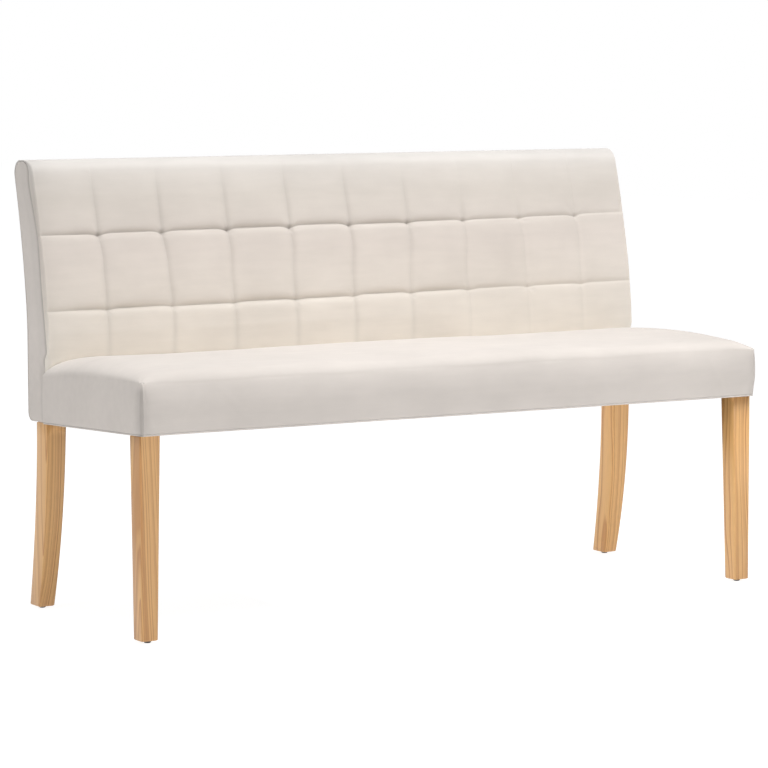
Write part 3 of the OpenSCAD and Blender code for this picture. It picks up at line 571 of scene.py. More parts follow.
# %% The leaning front and ends
front_lean_in = 6.5 * MM
left_lean_in = 3 * MM
right_fullness = 3.5 * MM
lean_down = 46 * MM  # the lean is used up this far under the rim
front_lean_reach = 34 * MM
end_lean_reach = 30 * MM
end_lean_stops = (seat_rear - 90 * MM, seat_rear - 30 * MM)
upright_corner_w = 45 * MM  # the front stays upright this close to the right end
full_end = (half_w - 120 * MM, half_w)
full_end_down = (50 * MM, 92 * MM)


def fading(distance, reach):
    """One at a line, falling by its square to nought at the reach."""
    return np.clip(1 - distance / reach, 0, 1) ** 2


def lean_back(x, y, below):
    """How far a point lies inside the drawn outline: by its distance in from the rim and down from it."""
    near = fading(below, lean_down)
    front = fading(y - seat_front, front_lean_reach) * near * (1 - 0.9 * ridge(x - half_w, upright_corner_w))
    left = fading(half_w - np.abs(x), end_lean_reach) * near * (x < 0)
    left = left * (1 - soft_step(y, *end_lean_stops))
    right = soft_step(x, *full_end) * (1 - soft_step(below, *full_end_down))
    return front_lean_in * front, left_lean_in * left - right_fullness * right


print("the front leans in by", front_lean_in / MM, "mm, the left end by", left_lean_in / MM, "mm")

# %% [markdown]
# The cover gathers where each corner seam ends on top. Short puckers fan out round a small knot with a
# pinhole on each side of it, and painted shade darkens each pinhole.

# %% Puckers, knots and pinholes
def spots(dx, dy, rows):
    """A sum of round bumps, each with its place in from end and front, its width and its height."""
    return sum(height * ridge(np.hypot(dx - x, dy - y), width) for x, y, width, height in rows)


knot_relief = [(6.5 * MM, 3.5 * MM, 1.7 * MM, -2.4 * MM), (2.2 * MM, 7.5 * MM, 1.7 * MM, -2.4 * MM),
               (4.6 * MM, 5.6 * MM, 1.8 * MM, 1.6 * MM)]
# painted shade in the two pinholes: place in from end and front, width and darkness
pinhole_painted_shade = [(7 * MM, 3.5 * MM, 1.8 * MM, 0.4), (2.2 * MM, 8 * MM, 1.8 * MM, 0.4)]
pucker_h = 0.5 * MM
puckers_n = 9
puckers_away = 15 * MM
puckers_w = 11 * MM
from_front = plan_y - seat_front
for side in (-1, 1):
    dx = half_w - side * plan_x
    turn = np.arctan2(from_front, dx)
    fans = np.cos(puckers_n * turn + side) * ridge(np.hypot(dx, from_front) - puckers_away, puckers_w)
    top_z += pucker_h * fans + spots(dx, from_front, knot_relief)
# painted shade of the pinholes
pinholes = spots(half_w - np.abs(plan_x), from_front, pinhole_painted_shade)
print("darkest pinhole:", round(float(pinholes.max()), 2))

# %% [markdown]
# Below the top the cover hangs straight as a boxed side, ring under ring round the same rim. Distances
# round the rim from the two front corners tell where the corner seams run.

# %% The rim
rows_n, cols_n = plan_x.shape
rim = border(rows_n, cols_n)
edge = np.stack([plan_x, plan_y, top_z], axis=-1).reshape(-1, 3)[rim]
edge_x, edge_y, edge_z = edge.T
shift_y, shift_x = lean_back(plan_x, plan_y, 0.0)
top_points = np.stack([plan_x - np.sign(plan_x) * shift_x, plan_y + shift_y, top_z], axis=-1).reshape(-1, 3)
corner_x = np.clip(edge_x, -(half_w - seat_corner_r), half_w - seat_corner_r)
corner_y = np.clip(edge_y, seat_front + seat_corner_r, seat_rear - seat_corner_r)
away = np.stack([edge_x - corner_x, edge_y - corner_y], axis=1)
outward_x, outward_y = (away / np.maximum(np.linalg.norm(away, axis=1, keepdims=True), 1e-9)).T
mostly = 0.7  # a direction faces a side when more than this share of it points there
in_front = outward_y < -mostly
at_an_end = np.abs(outward_x) > mostly
around = run_along(edge[:, :2])
whole = around[-1] + np.linalg.norm(edge[0, :2] - edge[-1, :2])
from_left = (around + whole / 2) % whole - whole / 2
from_right = -((around - around[cols_n - 1] + whole / 2) % whole - whole / 2)
print("round the rim:", round(float(whole), 3), "m")

# %% [markdown]
# A sewn seam runs down each front corner: a groove on the end's side of it, a thin rolled edge on the
# front's. A small pleat starts at the knot and dies out below it, a soft fold stands near the foot, and
# long faint wrinkles run up and away from the corner on the front face.

# %% Folds along the corner seams
# place, width and height of the groove, the hollow beside it and the rolled edge
seam_profile = [(-1.2 * MM, 2.2 * MM, -1.4 * MM), (-9 * MM, 8 * MM, -1.1 * MM), (2.2 * MM, 1.5 * MM, 1.5 * MM)]
pleat_h = 0.9 * MM
pleat_at = 3.5 * MM
pleat_run = 26 * MM
pleat_w = 2.4 * MM
fold_at = 9 * MM
fold_run = 30 * MM
fold_w = 6 * MM
fold_top_share = 0.45
# place along the rim, slope on the way down, width and height of each long wrinkle
wrinkles = [(150 * MM, 0.9, 9 * MM, 0.45 * MM), (118 * MM, -0.5, 7 * MM, 0.315 * MM)]


def bulge(low):
    """Fullness of the side between its rim and its hem: four times the share up times the share down."""
    return np.clip(4 * low * (1 - low), 0, 1)


def corner_relief(d, low, step, z):
    """Relief by the distance round from a corner seam, which is below nought on the end's side of it."""
    seam = soft_step(step, 0.0, 0.08) * ridges(d, seam_profile)
    pleat = ridge(d - pleat_at - pleat_run * (1 - low) ** 2, pleat_w) * soft_step(low, 0.35, 0.8)
    fold = ridge(d - fold_at - fold_run * (fold_top_share - low), fold_w) * soft_step(0.5 - low, 0, 0.25)
    far = sum(h * ridge(d - at - slope * (rim_z - z), width) for at, slope, width, h in wrinkles)
    return seam + pleat_h * (fold - pleat) + far * bulge(low)


print("height of the rolled edge at a corner:", seam_profile[-1][-1] / MM, "mm")

# %% [markdown]
# Painted shade lies where the cover turns at a corner. On the end's side it is a flat band with a line
# along the seam, and on the front's side only a soft line, over a wide faint haze on both.

# %% Painted shade along the corner seams
end_band_w = 22 * MM
end_band_painted_shade = 0.13
seam_foot = 3 * MM  # the rolled edge stands on this much of the front
# rows of place, width and darkness of the painted shade
end_line = [(-seam_foot, 5 * MM, 0.12)]
end_haze = [(0, 45 * MM, 0.03)]
front_line = [(0, 12 * MM, 0.11)]
front_haze = [(0, 60 * MM, 0.03)]


def corner_shade(d):
    """Painted shade by a corner seam: a flat band and a line on the end's side, a soft line in front."""
    end_side = end_band_painted_shade * np.exp(-(np.minimum(d, 0) / end_band_w) ** 4) + ridges(d, end_line)
    haze = np.where(d < 0, ridges(d, end_haze), ridges(d, front_haze))
    return np.where(d < seam_foot, end_side, ridges(d, front_line)) + haze


print("darkest along a corner seam:", round(float(corner_shade(from_left).max()), 3))

# %% [markdown]
# All the rings of the side are one array: a row for each step down and a column for each point of the rim.
# The side bulges a little, is tucked in where it meets the back, and stays flat against it.

# %% The sides of the seat
side_puff = 1.6 * MM
side_waves = [(0.31, 0.2, 1.0, 0.35 * MM), (0.17, 0.9, 3.0, 0.21 * MM)]
tuck_in = 2.6 * MM
tuck_w = 4.5 * MM
turn_up = 0.3 * MM  # the side ends this far above the hem
step = np.concatenate([np.linspace(0, 1, 40)[1:-1], [0.972, 0.985, 0.998]])[:, None]
hem = lower_z(edge_y)
side_z = edge_z + (hem + turn_up - edge_z) * step
low = (side_z - hem) / (rim_z - base_h)
puff = side_puff * bulge(low) * (1 - 0.75 * soft_step(step, 0.9, 1.0))
puff += drift(edge_x + edge_y, side_z, side_waves)
puff += corner_relief(from_left, low, step, side_z) + corner_relief(from_right, low, step, side_z)
puff -= tuck_in * ridge(edge_y - seat_rear, tuck_w) * at_an_end
shift_y, shift_x = lean_back(edge_x, edge_y, edge_z - side_z)
side_x = edge_x + outward_x * puff - np.sign(edge_x) * shift_x
side_y = np.minimum(edge_y + outward_y * puff + shift_y, seat_rear)
sides = np.stack([side_x, side_y, side_z], axis=-1)
print("side rings:", len(sides), "of", len(rim), "points")

# %% [markdown]
# Painted light and shade: towards the right the top is painted a little darker and the front lighter,
# turning evenly over the rim; the middle of the front is painted darker, the hem and the back's edge lighter.

# %% Painted light and shade of the seat
# painted shade on the top at the right, painted light on the front at the right
top_right_painted_shade = 0.04
front_right_painted_light = -0.045
# painted shade on the middle of the front, painted light along the back and the hem
front_middle_painted_shade = 0.05
edge_painted_light = -0.03
by_back_w = 9 * MM
by_hem_w = 3.5 * MM
to_top_right = (200 * MM, 620 * MM)
to_front_right = (100 * MM, 600 * MM)
rim_share = 1 - soft_step(from_front, 0, front_roll)
top_shade = pinholes + top_right_painted_shade * soft_step(plan_x, *to_top_right) * (1 - rim_share)
top_shade += front_right_painted_light * soft_step(plan_x, *to_front_right) * rim_share
# painted shade along the corner seams, faded in below the rim
side_shade = soft_step(step, 0.0, 0.18) * (corner_shade(from_left) + corner_shade(from_right))
side_shade += in_front * front_middle_painted_shade * bulge(low)
side_shade += in_front * front_right_painted_light * soft_step(edge_x, *to_front_right)
side_shade += edge_painted_light * (ridge(edge_y - seat_rear, by_back_w) + ridge(side_z - hem, by_hem_w))
print("side tones from", round(float(side_shade.min()), 3), "to", round(float(side_shade.max()), 3))

# %% [markdown]
# The hem is turned under the rails, and the inside follows the rails and the board, so the pad is one
# closed form. Each inner ring is the rim pressed into a smaller rectangle.

# %% Hem and inner faces
def inner_ring(set_x, set_front, set_rear, up=0.0, level=None):
    """The rim pressed into a smaller rectangle of the plan, over the falling lower edge or at one level."""
    x = np.clip(edge_x, -half_w + set_x, half_w - set_x)
    y = np.clip(edge_y, seat_front + set_front, seat_rear - set_rear)
    z = lower_z(y) + up if level is None else np.full(len(y), level)
    return np.stack([x, y, z], axis=1)


hem_in = (23 * MM, 29 * MM, 19.2 * MM)
rails_in = (5 * MM, 11 * MM, cover_t)
rail_h = 57 * MM
board_t = 9 * MM
eased = 0.2 * MM  # the turned hem is rounded by this much
inner = np.stack([
    inner_ring(0, 0, 0, turn_up), inner_ring(eased, eased, eased, eased / 2),
    inner_ring(cover_t, cover_t, cover_t), inner_ring(*hem_in), inner_ring(*hem_in, cover_t),
    inner_ring(*rails_in, cover_t), inner_ring(*rails_in, level=base_h + cover_t + rail_h + board_t)])
rings = np.concatenate([sides, inner])
print("hem and inner rings:", len(inner))

# %% [markdown]
# The faces are laid in three parts: the quads of the top, the quads between neighbouring rings, and one
# face that closes the inside. Then the piece is named, toned and dressed as a padded piece.

# %% Make the seat pad
starts = rows_n * cols_n + len(rim) * np.arange(len(rings))
stack = [rim] + [start + np.arange(len(rim)) for start in starts]
walls = [np.stack([upper, under, np.roll(under, -1), np.roll(upper, -1)], axis=1)
         for upper, under in zip(stack[:-1], stack[1:])]
faces = list(grid_quads(rows_n, cols_n)) + list(np.concatenate(walls)) + [stack[-1][::-1]]
seat_pad = lay_mesh("seat_pad", np.concatenate([top_points, rings.reshape(-1, 3)]), faces)
paint_shade(seat_pad, np.concatenate([top_shade.ravel(), side_shade.ravel(), np.zeros(len(inner) * len(rim))]))
rework(seat_pad.data, merge_close)
dress(seat_pad, ["seat_cover", "seat_foam", "seat_edge_wadding"], cream)

# %% [markdown]
# ## The back
# Seen from the end, the back is a line that rises, leans away, and rolls over the top. A skin point is a
# place on that line and the direction that leaves it squarely. Everything soft is this skin plus a height
# along that direction.

# %% The lines of the back
frame_z = base_h + cover_t
quilt_low = frame_z + 70.3 * MM  # top of the lower back rail
swell_low = rim_z + 11 * MM
swell_high = roll_z + 13 * MM
swell_t = 10.3 * MM
front_bend_z = roll_z + 5 * MM
rear_bend_z = front_bend_z + 40 * MM
front_line_top = back_h - front_top_r
rear_line_top = back_h - rear_top_r
front_lean = overall_half_d - back_top_t - back_front
rear_lean = overall_half_d - back_rear
lean_power = 1.5


def lean(z, low, high):
    """Share of the lean at a height: none below the bend, then growing with the power one and a half."""
    return np.maximum(0, (z - low) / (high - low)) ** lean_power


def front_y(z):
    """The front line: straight behind the seat, swelling over its rear edge, then leaning back."""
    swell = swell_t * (1 - soft_step(z, swell_low, swell_high))
    return back_front + swell + front_lean * lean(z, front_bend_z, front_line_top)


def rear_y(z):
    """The rear line: straight to its bend, then leaning back."""
    return back_rear + rear_lean * lean(z, rear_bend_z, rear_line_top)


front_tilt = np.arctan(lean_power * front_lean / (front_line_top - front_bend_z))
rear_tilt = np.arctan(lean_power * rear_lean / (rear_line_top - rear_bend_z))
front_roll_z = front_line_top + front_top_r * np.sin(front_tilt)
rear_roll_z = rear_line_top - rear_top_r * np.sin(rear_tilt)
front_roll_y = front_y(front_roll_z) + front_top_r * np.cos(front_tilt)
rear_roll_y = rear_y(rear_roll_z) - rear_top_r * np.cos(rear_tilt)
print("the back leans by", round(float(np.degrees(front_tilt)), 1), "degrees where its roll starts")

# %% [markdown]
# The seams need fine rows of mesh, the tufts between them don't. Places are set so that their density
# follows a bell curve over every seam, by turning the running sum of that density round.

# %% Rows that crowd near the seams
seam_high_share = 0.595
seam_low_share = 0.2
seam_high = swell_high + seam_high_share * (back_h - swell_high)
seam_low = swell_high + seam_low_share * (back_h - swell_high)
seam_reach = 11 * MM
samples_n = 400
row_fine = 1.3 * MM
row_coarse = 4.5 * MM


def crowded(stops, fine, coarse):
    """Places from the first stop to the last, on every stop, and closer together near the inner stops."""
    made = [np.array([stops[0]])]
    for low, high in zip(stops[:-1], stops[1:]):
        at = np.linspace(low, high, samples_n)
        near = sum(ridge(at - stop, seam_reach) for stop in stops[1:-1])
        density = 1 / coarse + (1 / fine - 1 / coarse) * near
        total = np.concatenate([[0], np.cumsum((density[1:] + density[:-1]) / 2 * np.diff(at))])
        count = max(2, int(round(total[-1])))
        made.append(np.interp(np.linspace(0, total[-1], count + 1)[1:], total, at))
    return np.concatenate(made)


row_z = crowded([quilt_low, seam_low, seam_high, front_roll_z], row_fine, row_coarse)
print("rows up the front:", len(row_z))

# %% [markdown]
# The skin is the cover's line before any tuft swells: up the front on those rows, round the front edge of
# the roll, over the crest and round to the rear seam. Each of its points also has a direction out of the
# back.

# %% The skin from the seat over the roll to the rear seam
front_turn = np.linspace(front_tilt, np.pi / 2, 15)[1:]
rear_turn = np.linspace(np.pi / 2, -rear_tilt, 17)[1:]
slope = np.arctan(np.gradient(front_y(row_z), row_z)) * (row_z > swell_high)
skin_y = np.concatenate([front_y(row_z), front_roll_y - front_top_r * np.cos(front_turn),
                         rear_roll_y + rear_top_r * np.cos(rear_turn)])
skin_z = np.concatenate([row_z, front_line_top + front_top_r * np.sin(front_turn),
                         rear_line_top + rear_top_r * np.sin(rear_turn)])
out_y = np.concatenate([-np.cos(slope), -np.cos(front_turn), np.cos(rear_turn)])
out_z = np.concatenate([np.sin(slope), np.sin(front_turn), np.sin(rear_turn)])
arc = run_along(np.stack([skin_y, skin_z], axis=1))
last_row = len(row_z) - 1
crest_row = last_row + len(front_turn)
rise = row_z[-1] + arc - arc[last_row]
crest = rise[crest_row]
print("skin rows:", len(skin_y), "arc", round(arc[-1], 3), "m, crest at row", crest_row)

# %% [markdown]
# ## Tufts
# The cover is sewn down on a grid of seams. Level seams are pulled tight and show as dark lines that arch
# up between the crossings, where the thread draws the cover in deeply. Upright seams are softer, wander a
# little to either side and fade away below the rolled top. Each tuft has its own small difference, drawn
# once from a fixed seed.

# %% The grid of the quilt
pitch = 140.5 * MM
tuft_edge = 4 * pitch
column_fine = 1.5 * MM
column_coarse = 5 * MM
end_margin = 14 * MM  # the columns crowd again this near each end
rng = np.random.default_rng(12)
stops_x = [-back_half_w] + [k * pitch for k in range(-4, 5)] + [back_half_w]
column_x = crowded(stops_x, column_fine, column_coarse)
end_steps = back_half_w - end_margin * (1 - np.cos(np.linspace(0, np.pi / 2, 9)))
middle_x = column_x[np.abs(column_x) < back_half_w - end_margin - 2 * MM]
column_x = np.concatenate([-end_steps, middle_x, end_steps[::-1]])
grid_x, grid_rise = np.meshgrid(column_x, rise)
cell = np.clip(np.floor((grid_x + 5 * pitch) / pitch), 0, 9).astype(int)
cross_at = np.clip(np.round(grid_x / pitch), -4, 4)
cross_x = cross_at * pitch
from_cross = grid_x - cross_x
from_high = grid_rise - seam_high
from_low = grid_rise - seam_low
from_end = back_half_w - np.abs(grid_x)
level = np.minimum(np.abs(from_high), np.abs(from_low))
upright = np.where(np.abs(grid_x) > tuft_edge + pitch / 2, 1.0, np.abs(from_cross))
arches = [3.6 * MM + 1.0 * MM * rng.standard_normal(10), 2.4 * MM + 0.8 * MM * rng.standard_normal(10)]
fullness = [1 + 0.10 * rng.standard_normal(10) for _ in range(3)]
print("quilt grid:", len(rise), "by", len(column_x))

# %% [markdown]
# A hand-sewn quilt isn't quite straight. The level seams arch between the crossings and tilt along the
# bench, and each upright runs from its own place at the lower seam to its own place at the upper one.

# %% How the seams run
arch_reach = 55 * MM
arch_foot = 14 * MM
sway = 3.5 * MM
wiggle = 0.8 * MM
wiggle_length = 47 * MM
# how far each upright stands off its place at the upper and at the lower seam
at_high = np.array([-2.4, -2.4, 3.3, 5.3, 5.3, 6.0, 1.8, 0.0, 2.9]) * MM
at_low = np.array([2.2, 4.9, 2.7, 3.3, 0.7, -4.0, -3.6, 4.8, 1.1]) * MM
tilts = np.array([0, 7.2, 6.4, 0]) * MM


def seam_arch(which):
    """How far a level seam rises between two crossings, and not at all on them."""
    return np.take(arches[which], cell) * (1 - ridge(from_cross, arch_foot))


number = (cross_at + 4).astype(int)
up_share = (grid_rise - seam_low) / (seam_high - seam_low)
off_low = np.take(at_low, number)
off_high = np.take(at_high, number)
wander_x = off_low + (off_high - off_low) * soft_step(up_share, 0, 1) + sway * ridge(up_share - 0.7, 0.22)
wander_x += wiggle * np.sin(grid_rise / wiggle_length + 1.7 * cross_at)
lift = seam_arch(0) * ridge(from_high, arch_reach) + seam_arch(1) * ridge(from_low, arch_reach)
tilt = np.interp(grid_rise, [quilt_low, seam_low, seam_high, front_roll_z], tilts) * grid_x / back_half_w
print("arches up to", round(float(lift.max()) / MM, 1), "mm, uprights off by up to",
      round(float(np.abs(wander_x).max()) / MM, 1), "mm")

# %% [markdown]
# Between the seams the wadding swells: quickly within two fingers of a seam, then almost flat. The level
# seams are sewn less tightly towards both ends and towards the right, and the uprights fade out earlier
# there.

# %% How tight the seams are
def pulled(distance, reach):
    """Fullness at a distance from a seam: one less an exponential, slowed a little, over the reach."""
    return 1 - np.exp(-np.abs(distance) / reach) * (1 + 0.35 * np.abs(distance) / reach)


level_reach = 4 * MM
upright_reach = 7.5 * MM
end_reach = 10 * MM
# spans over which something grows, along the bench or up from a seam
right_span = (50 * MM, 350 * MM)
looser_span = (150 * MM, 500 * MM)
thinner_span = (-100 * MM, 600 * MM)
upper_span = (10 * MM, 60 * MM)
lowest_span = (0, 20 * MM)
loose_end_w = 75 * MM
fade_left = np.array([60 * MM, 135 * MM])
fade_right = np.array([15 * MM, 60 * MM])
to_the_right = soft_step(grid_x, *right_span)
tight = (1 - 0.45 * ridge(from_end, loose_end_w)) * (1 - 0.25 * soft_step(grid_x, *looser_span))
fade_from, fade_to = (fade_left + (fade_right - fade_left) * to_the_right[..., None]).transpose(2, 0, 1)
fade_up = 1 - soft_step(from_high, fade_from, fade_to)
level_full = 1 - (1 - pulled(level, level_reach)) * tight
upright_full = pulled(upright, upright_reach)
end_full = roll_share(from_end / end_reach)
seam_depth = 0.72 - 0.22 * soft_step(from_high, *upper_span) - 0.25 * soft_step(-from_low, *lowest_span)
seam_depth = seam_depth * fade_up * (1 - 0.35 * to_the_right)
print("the level seams hold from", round(float(tight.min()), 2), "to", round(float(tight.max()), 2))

# %% [markdown]
# A tuft's height is its own fullness, less what the seams round it hold down, plus a bow over its middle. A
# small tight roll shows where the cover turns over the thread, and the seam to the boxing strip stands up.

# %% Height of the quilt over the skin
tuft_h = 4.8 * MM
bow_h = 1.2 * MM
seam_sunk = 1.4 * MM
end_sunk = 0.8 * MM
under_thread = (-3.4 * MM, 1.9 * MM, 0.6 * MM)  # a small tight roll where the cover turns over the thread
rolled_edge = (2.6 * MM, 1.8 * MM, 1.7 * MM)  # the seam to the boxing strip stands up
tuft_row = np.where(grid_rise > seam_high, 0, np.where(grid_rise > seam_low, 1, 2))
own_full = np.choose(tuft_row, [np.take(f, cell) for f in fullness])
own_full = own_full * (1 - 0.4 * soft_step(grid_x, *thinner_span))
bow = 1 - ((grid_x - (cell - 4.5) * pitch) / (pitch / 2)) ** 2
swell = tuft_h * own_full * (1 - seam_depth * (1 - upright_full)) + bow_h * bow
height = swell * level_full - seam_sunk * (1 - level_full)
height += tight * (ridges(from_high, [under_thread]) + 0.7 * ridges(from_low, [under_thread]))
height = height * end_full - end_sunk * (1 - end_full) + ridges(from_end, [rolled_edge])
print("tufts up to", round(float(height.max()) / MM, 1), "mm high")

# %% [markdown]
# At each crossing the thread draws a dimple, and small folds run out from it like spokes: two cosines of
# the turn round the crossing. Long soft waves over the whole cover keep it from looking moulded.

# %% Dimples, folds and waves
fold_h = 0.34 * MM
fold_start = (5 * MM, 14 * MM)
fold_length = 22 * MM
dimple_squash = 1.15
shallow_span = (0, 500 * MM)
dimples = ((from_high, 4.6 * MM, 5 * MM), (from_low, 2.6 * MM, 5.5 * MM))
waves = [(0.33, 0.4, 0.5, 0.7 * MM), (0.19, 1.4, 2.5, 0.45 * MM),
         (0.085, 2.4, 1.5, 0.22 * MM), (0.052, 0.7, 3.5, 0.12 * MM)]
for from_seam, depth, reach in dimples:
    away = np.hypot(from_cross, from_seam * dimple_squash)
    turn = np.arctan2(from_seam, from_cross)
    shallower = 1 - 0.35 * soft_step(grid_x, *shallow_span)
    height -= depth * shallower * np.exp(-(away / reach) ** 1.5) * end_full
    folds = np.cos(6 * turn + 2.1 * cross_at) + 0.6 * np.cos(9 * turn - 1.3 * cross_at)
    folds_share = soft_step(away, *fold_start) * np.exp(-away / fold_length)
    height += fold_h * folds * folds_share * end_full
height += end_full * level_full * drift(grid_x, grid_rise, waves)
print("deepest dimple:", round(float(height.min()) / MM, 1), "mm")

# %% [markdown]
# The swell fades out behind the seat, and over the crest the cover lies flat to the rear seam, with a few
# puckers where it is gathered round the ends of the roll.

# %% Where the swell ends
past_roll = soft_step(grid_rise, rise[last_row], crest)
behind_seat = np.clip((grid_rise - swell_low) / (seam_low - swell_low) * 2, 0, 1)
gathered = [(12 * MM, 10 * MM, 0.5 * MM)]  # place, width and height of the gathers at each end
gather_step = 7 * MM
gather_low = front_roll_z - 30 * MM
gather_high = crest + 25 * MM
puckers = ridges(from_end, gathered) * np.sin(grid_rise / gather_step)
puckers = puckers * soft_step(grid_rise, gather_low, crest) * (1 - soft_step(grid_rise, crest, gather_high))
height = (height * (1 - past_roll) + puckers) * behind_seat
print("at the rear seam the cover is", round(float(np.abs(height[-1]).max()) / MM, 1), "mm high")

# %% [markdown]
# The rows slide a little along the skin so that one row of the mesh follows each arched seam. A seam then
# stays a crisp line of mesh edges and needs no finer grid. Low down the pad presses onto the seat all along
# its line, so no gap opens under the swell.

# %% The outer face of the back
pressed_in = 10 * MM
press_span = (14 * MM, 3 * MM)  # depths under the seat's surface where the pressing ends and starts
wander_reach = 30 * MM


def skin_at(place, depth, sideways):
    """Points at a height over the skin: looks the skin up by its arc length."""
    y, z, ny, nz = (np.interp(place, rise, values) for values in (skin_y, skin_z, out_y, out_z))
    return np.stack([sideways, y + ny * depth, z + nz * depth], axis=-1)


on_upright = upright < 0.9
slid = grid_rise + (lift + tilt) * (1 - past_roll) * behind_seat
outer = skin_at(slid, height, grid_x + wander_x * ridge(upright, wander_reach) * on_upright)
seat_line = seat_height(outer[..., 0], np.full(outer.shape[:2], seat_rear - pressed_in))
drawn_swell = 1 - soft_step(outer[..., 2], swell_low, swell_high)
pressed = 1 - soft_step(outer[..., 2], seat_line - press_span[0], seat_line - press_span[1])
outer[..., 1] += swell_t * (pressed - drawn_swell) * end_full * (grid_rise < seam_low)
print("outer face:", outer.shape[0], "rows of", outer.shape[1], "points")

# %% [markdown]
# The front cover laps round each end as far as a lip: a little at the seams' height, more over the top.
# Behind the lip the pad has its thickness, which thins out over the crest. Eight more columns of points
# make both.

# %% The lap and the inner face
pad_stops = [seam_high, rise[last_row], crest, rise[crest_row + 1], rise[-1]]
pad_share = np.interp(rise, pad_stops, [1, 0.75, 0.62, 0.48, 0.15])
pad_t = 37.7 * MM
lap_edge = 1.2 * MM
lap_in = 3.3 * MM
# widths of the lap: everywhere, under the roll, at the seams' height and over the roll
lap_all, lap_under_roll, lap_between, lap_over_roll = 4 * MM, 15 * MM, 6 * MM, 6 * MM
between_seams = soft_step(rise, swell_low - 40 * MM, swell_low + 110 * MM)
between_seams = between_seams * (1 - soft_step(rise, seam_high - 110 * MM, seam_high))
under_roll = soft_step(rise, seam_high - 10 * MM, seam_high + 150 * MM)
under_roll = under_roll * (1 - soft_step(rise, crest - 75 * MM, crest - 10 * MM))
over_roll = soft_step(rise, crest, rise[-1])
lip = pad_share * (lap_all + lap_under_roll * under_roll + lap_between * between_seams
                   + lap_over_roll * over_roll)
lap = back_half_w - lap_in
lip_x = np.array([back_half_w, back_half_w, lap, lap, -lap, -lap, -back_half_w, -back_half_w])
near_lip = lip - lap_edge
lip_depth = np.stack([near_lip, lip, lip, pad_t * pad_share, pad_t * pad_share, lip, lip, near_lip], axis=1)
lips, lip_rise = np.meshgrid(lip_x, rise)
inner_face = skin_at(lip_rise, -lip_depth, lips)
print("the lap is up to", round(float(lip.max()) / MM, 1), "mm wide")

# %% [markdown]
# The back was upholstered slightly out of true. One function hangs every piece of it the same way, so that
# their seams still meet. It is lower at the top left, and wider at the top right.

# %% Make the back pad
wide_right = 4 * MM
wide_from = 500 * MM
top_sunk = 1.3 * MM
top_tilt = 3.3 * MM


def hang(points):
    """Adds a width that grows to the top right, and takes off a height that grows to the top left."""
    x, z = points[..., 0], points[..., 2]
    share = soft_step(z, seam_high - 40 * MM, back_h - 20 * MM)
    points[..., 0] += wide_right * soft_step(z, base_h, back_h) * soft_step(x, wide_from, back_half_w)
    points[..., 2] -= share * (top_sunk - top_tilt * points[..., 0] / back_half_w)
    return points


loops = hang(np.concatenate([outer, inner_face], axis=1))
n = loops.shape[1]
faces = list(grid_quads(len(rise), n, wrap=True)) + [np.arange(n)[::-1], (len(rise) - 1) * n + np.arange(n)]
back_pad = lay_mesh("back_pad", loops, faces)
print("back pad:", len(rise), "loops of", n, "points")

# %% [markdown]
# Painted shade lies in soft bands on the uprights, thin lines on the level seams, spots at the crossings,
# near the left end and over the roll towards the right. Painted light lies along the crest, on the rolled
# edge at each end, beside the uprights at the right and on the lap next to each end.

# %% Painted light and shade of the back
# each row has a place, a width and a tone, and the spot at a crossing has two places
# painted shade on the uprights, painted light beside them at the right, painted shade on the level seams and
# crossings
upright_painted_shade = [(1 * MM, 7 * MM, 0.08)]
beside_upright_painted_light = [(5 * MM, 5 * MM, -0.035)]
upper_seam_painted_shade = [(1 * MM, 1.8 * MM, 0.10)]
lower_seam_painted_shade = [(1 * MM, 1.8 * MM, 0.08)]
crossing_painted_shade = [(0, 1.5 * MM, 6 * MM, 0.16)]
# painted shade near the left end, painted light on the rolled edges and the crest, painted shade on the roll
left_end_painted_shade = [(0, 28 * MM, 0.055), (0, 120 * MM, 0.01925)]
rolled_edge_painted_light = [(0, 3.5 * MM, -0.10)]
crest_painted_light = [(0, 11 * MM, -0.09)]
roll_painted_shade = 0.085
roll_span = (front_roll_z + 2 * MM, front_roll_z + 24 * MM)
seams_right = 1 - 0.65 * soft_step(grid_x, 0, 500 * MM)
uprights = ridges(from_cross, upright_painted_shade) * fade_up * seams_right
uprights += ridges(from_cross, beside_upright_painted_light) * (from_high < 0) * to_the_right
lines = (ridges(from_high, upper_seam_painted_shade) + ridges(from_low, lower_seam_painted_shade)) * tight
on_roll = soft_step(grid_rise, *roll_span) * soft_step(grid_x, -500 * MM, 0)
shade = uprights * on_upright + (lines + spots(from_cross, from_high, crossing_painted_shade)) * seams_right
shade += ridges(grid_x + back_half_w, left_end_painted_shade) + ridges(from_end, rolled_edge_painted_light)
shade += ridges(grid_rise - crest, crest_painted_light) + roll_painted_shade * on_roll
# painted light on the lap's outer edge, painted shade at the lip and on the hidden inside
lap_painted_light_and_shade = np.broadcast_to([-0.08, 0.16, 0.3, 0.3, 0.3, 0.3, 0.16, -0.08], (len(rise), len(lip_x)))
paint_shade(back_pad, np.concatenate([shade, lap_painted_light_and_shade], axis=1))
dress(back_pad, ["back_quilted_cover", "back_foam"], back_velvet_painted_light)

# %% [markdown]
# ## The ends and the rear of the back
# A boxing strip closes each end. It is a flat piece between two lines: the front one runs from the back's
# foot up along the lap of the front cover, the rear one up the rear and over to the same crest.

# %% Outline of an end
def corner_arc(radius, turns):
    """Depth and height of the quarter circle at the rear lower corner."""
    return np.stack([back_rear - bottom_corner_r + radius * np.cos(turns),
                     base_rear + bottom_corner_r - radius * np.sin(turns)], axis=1)


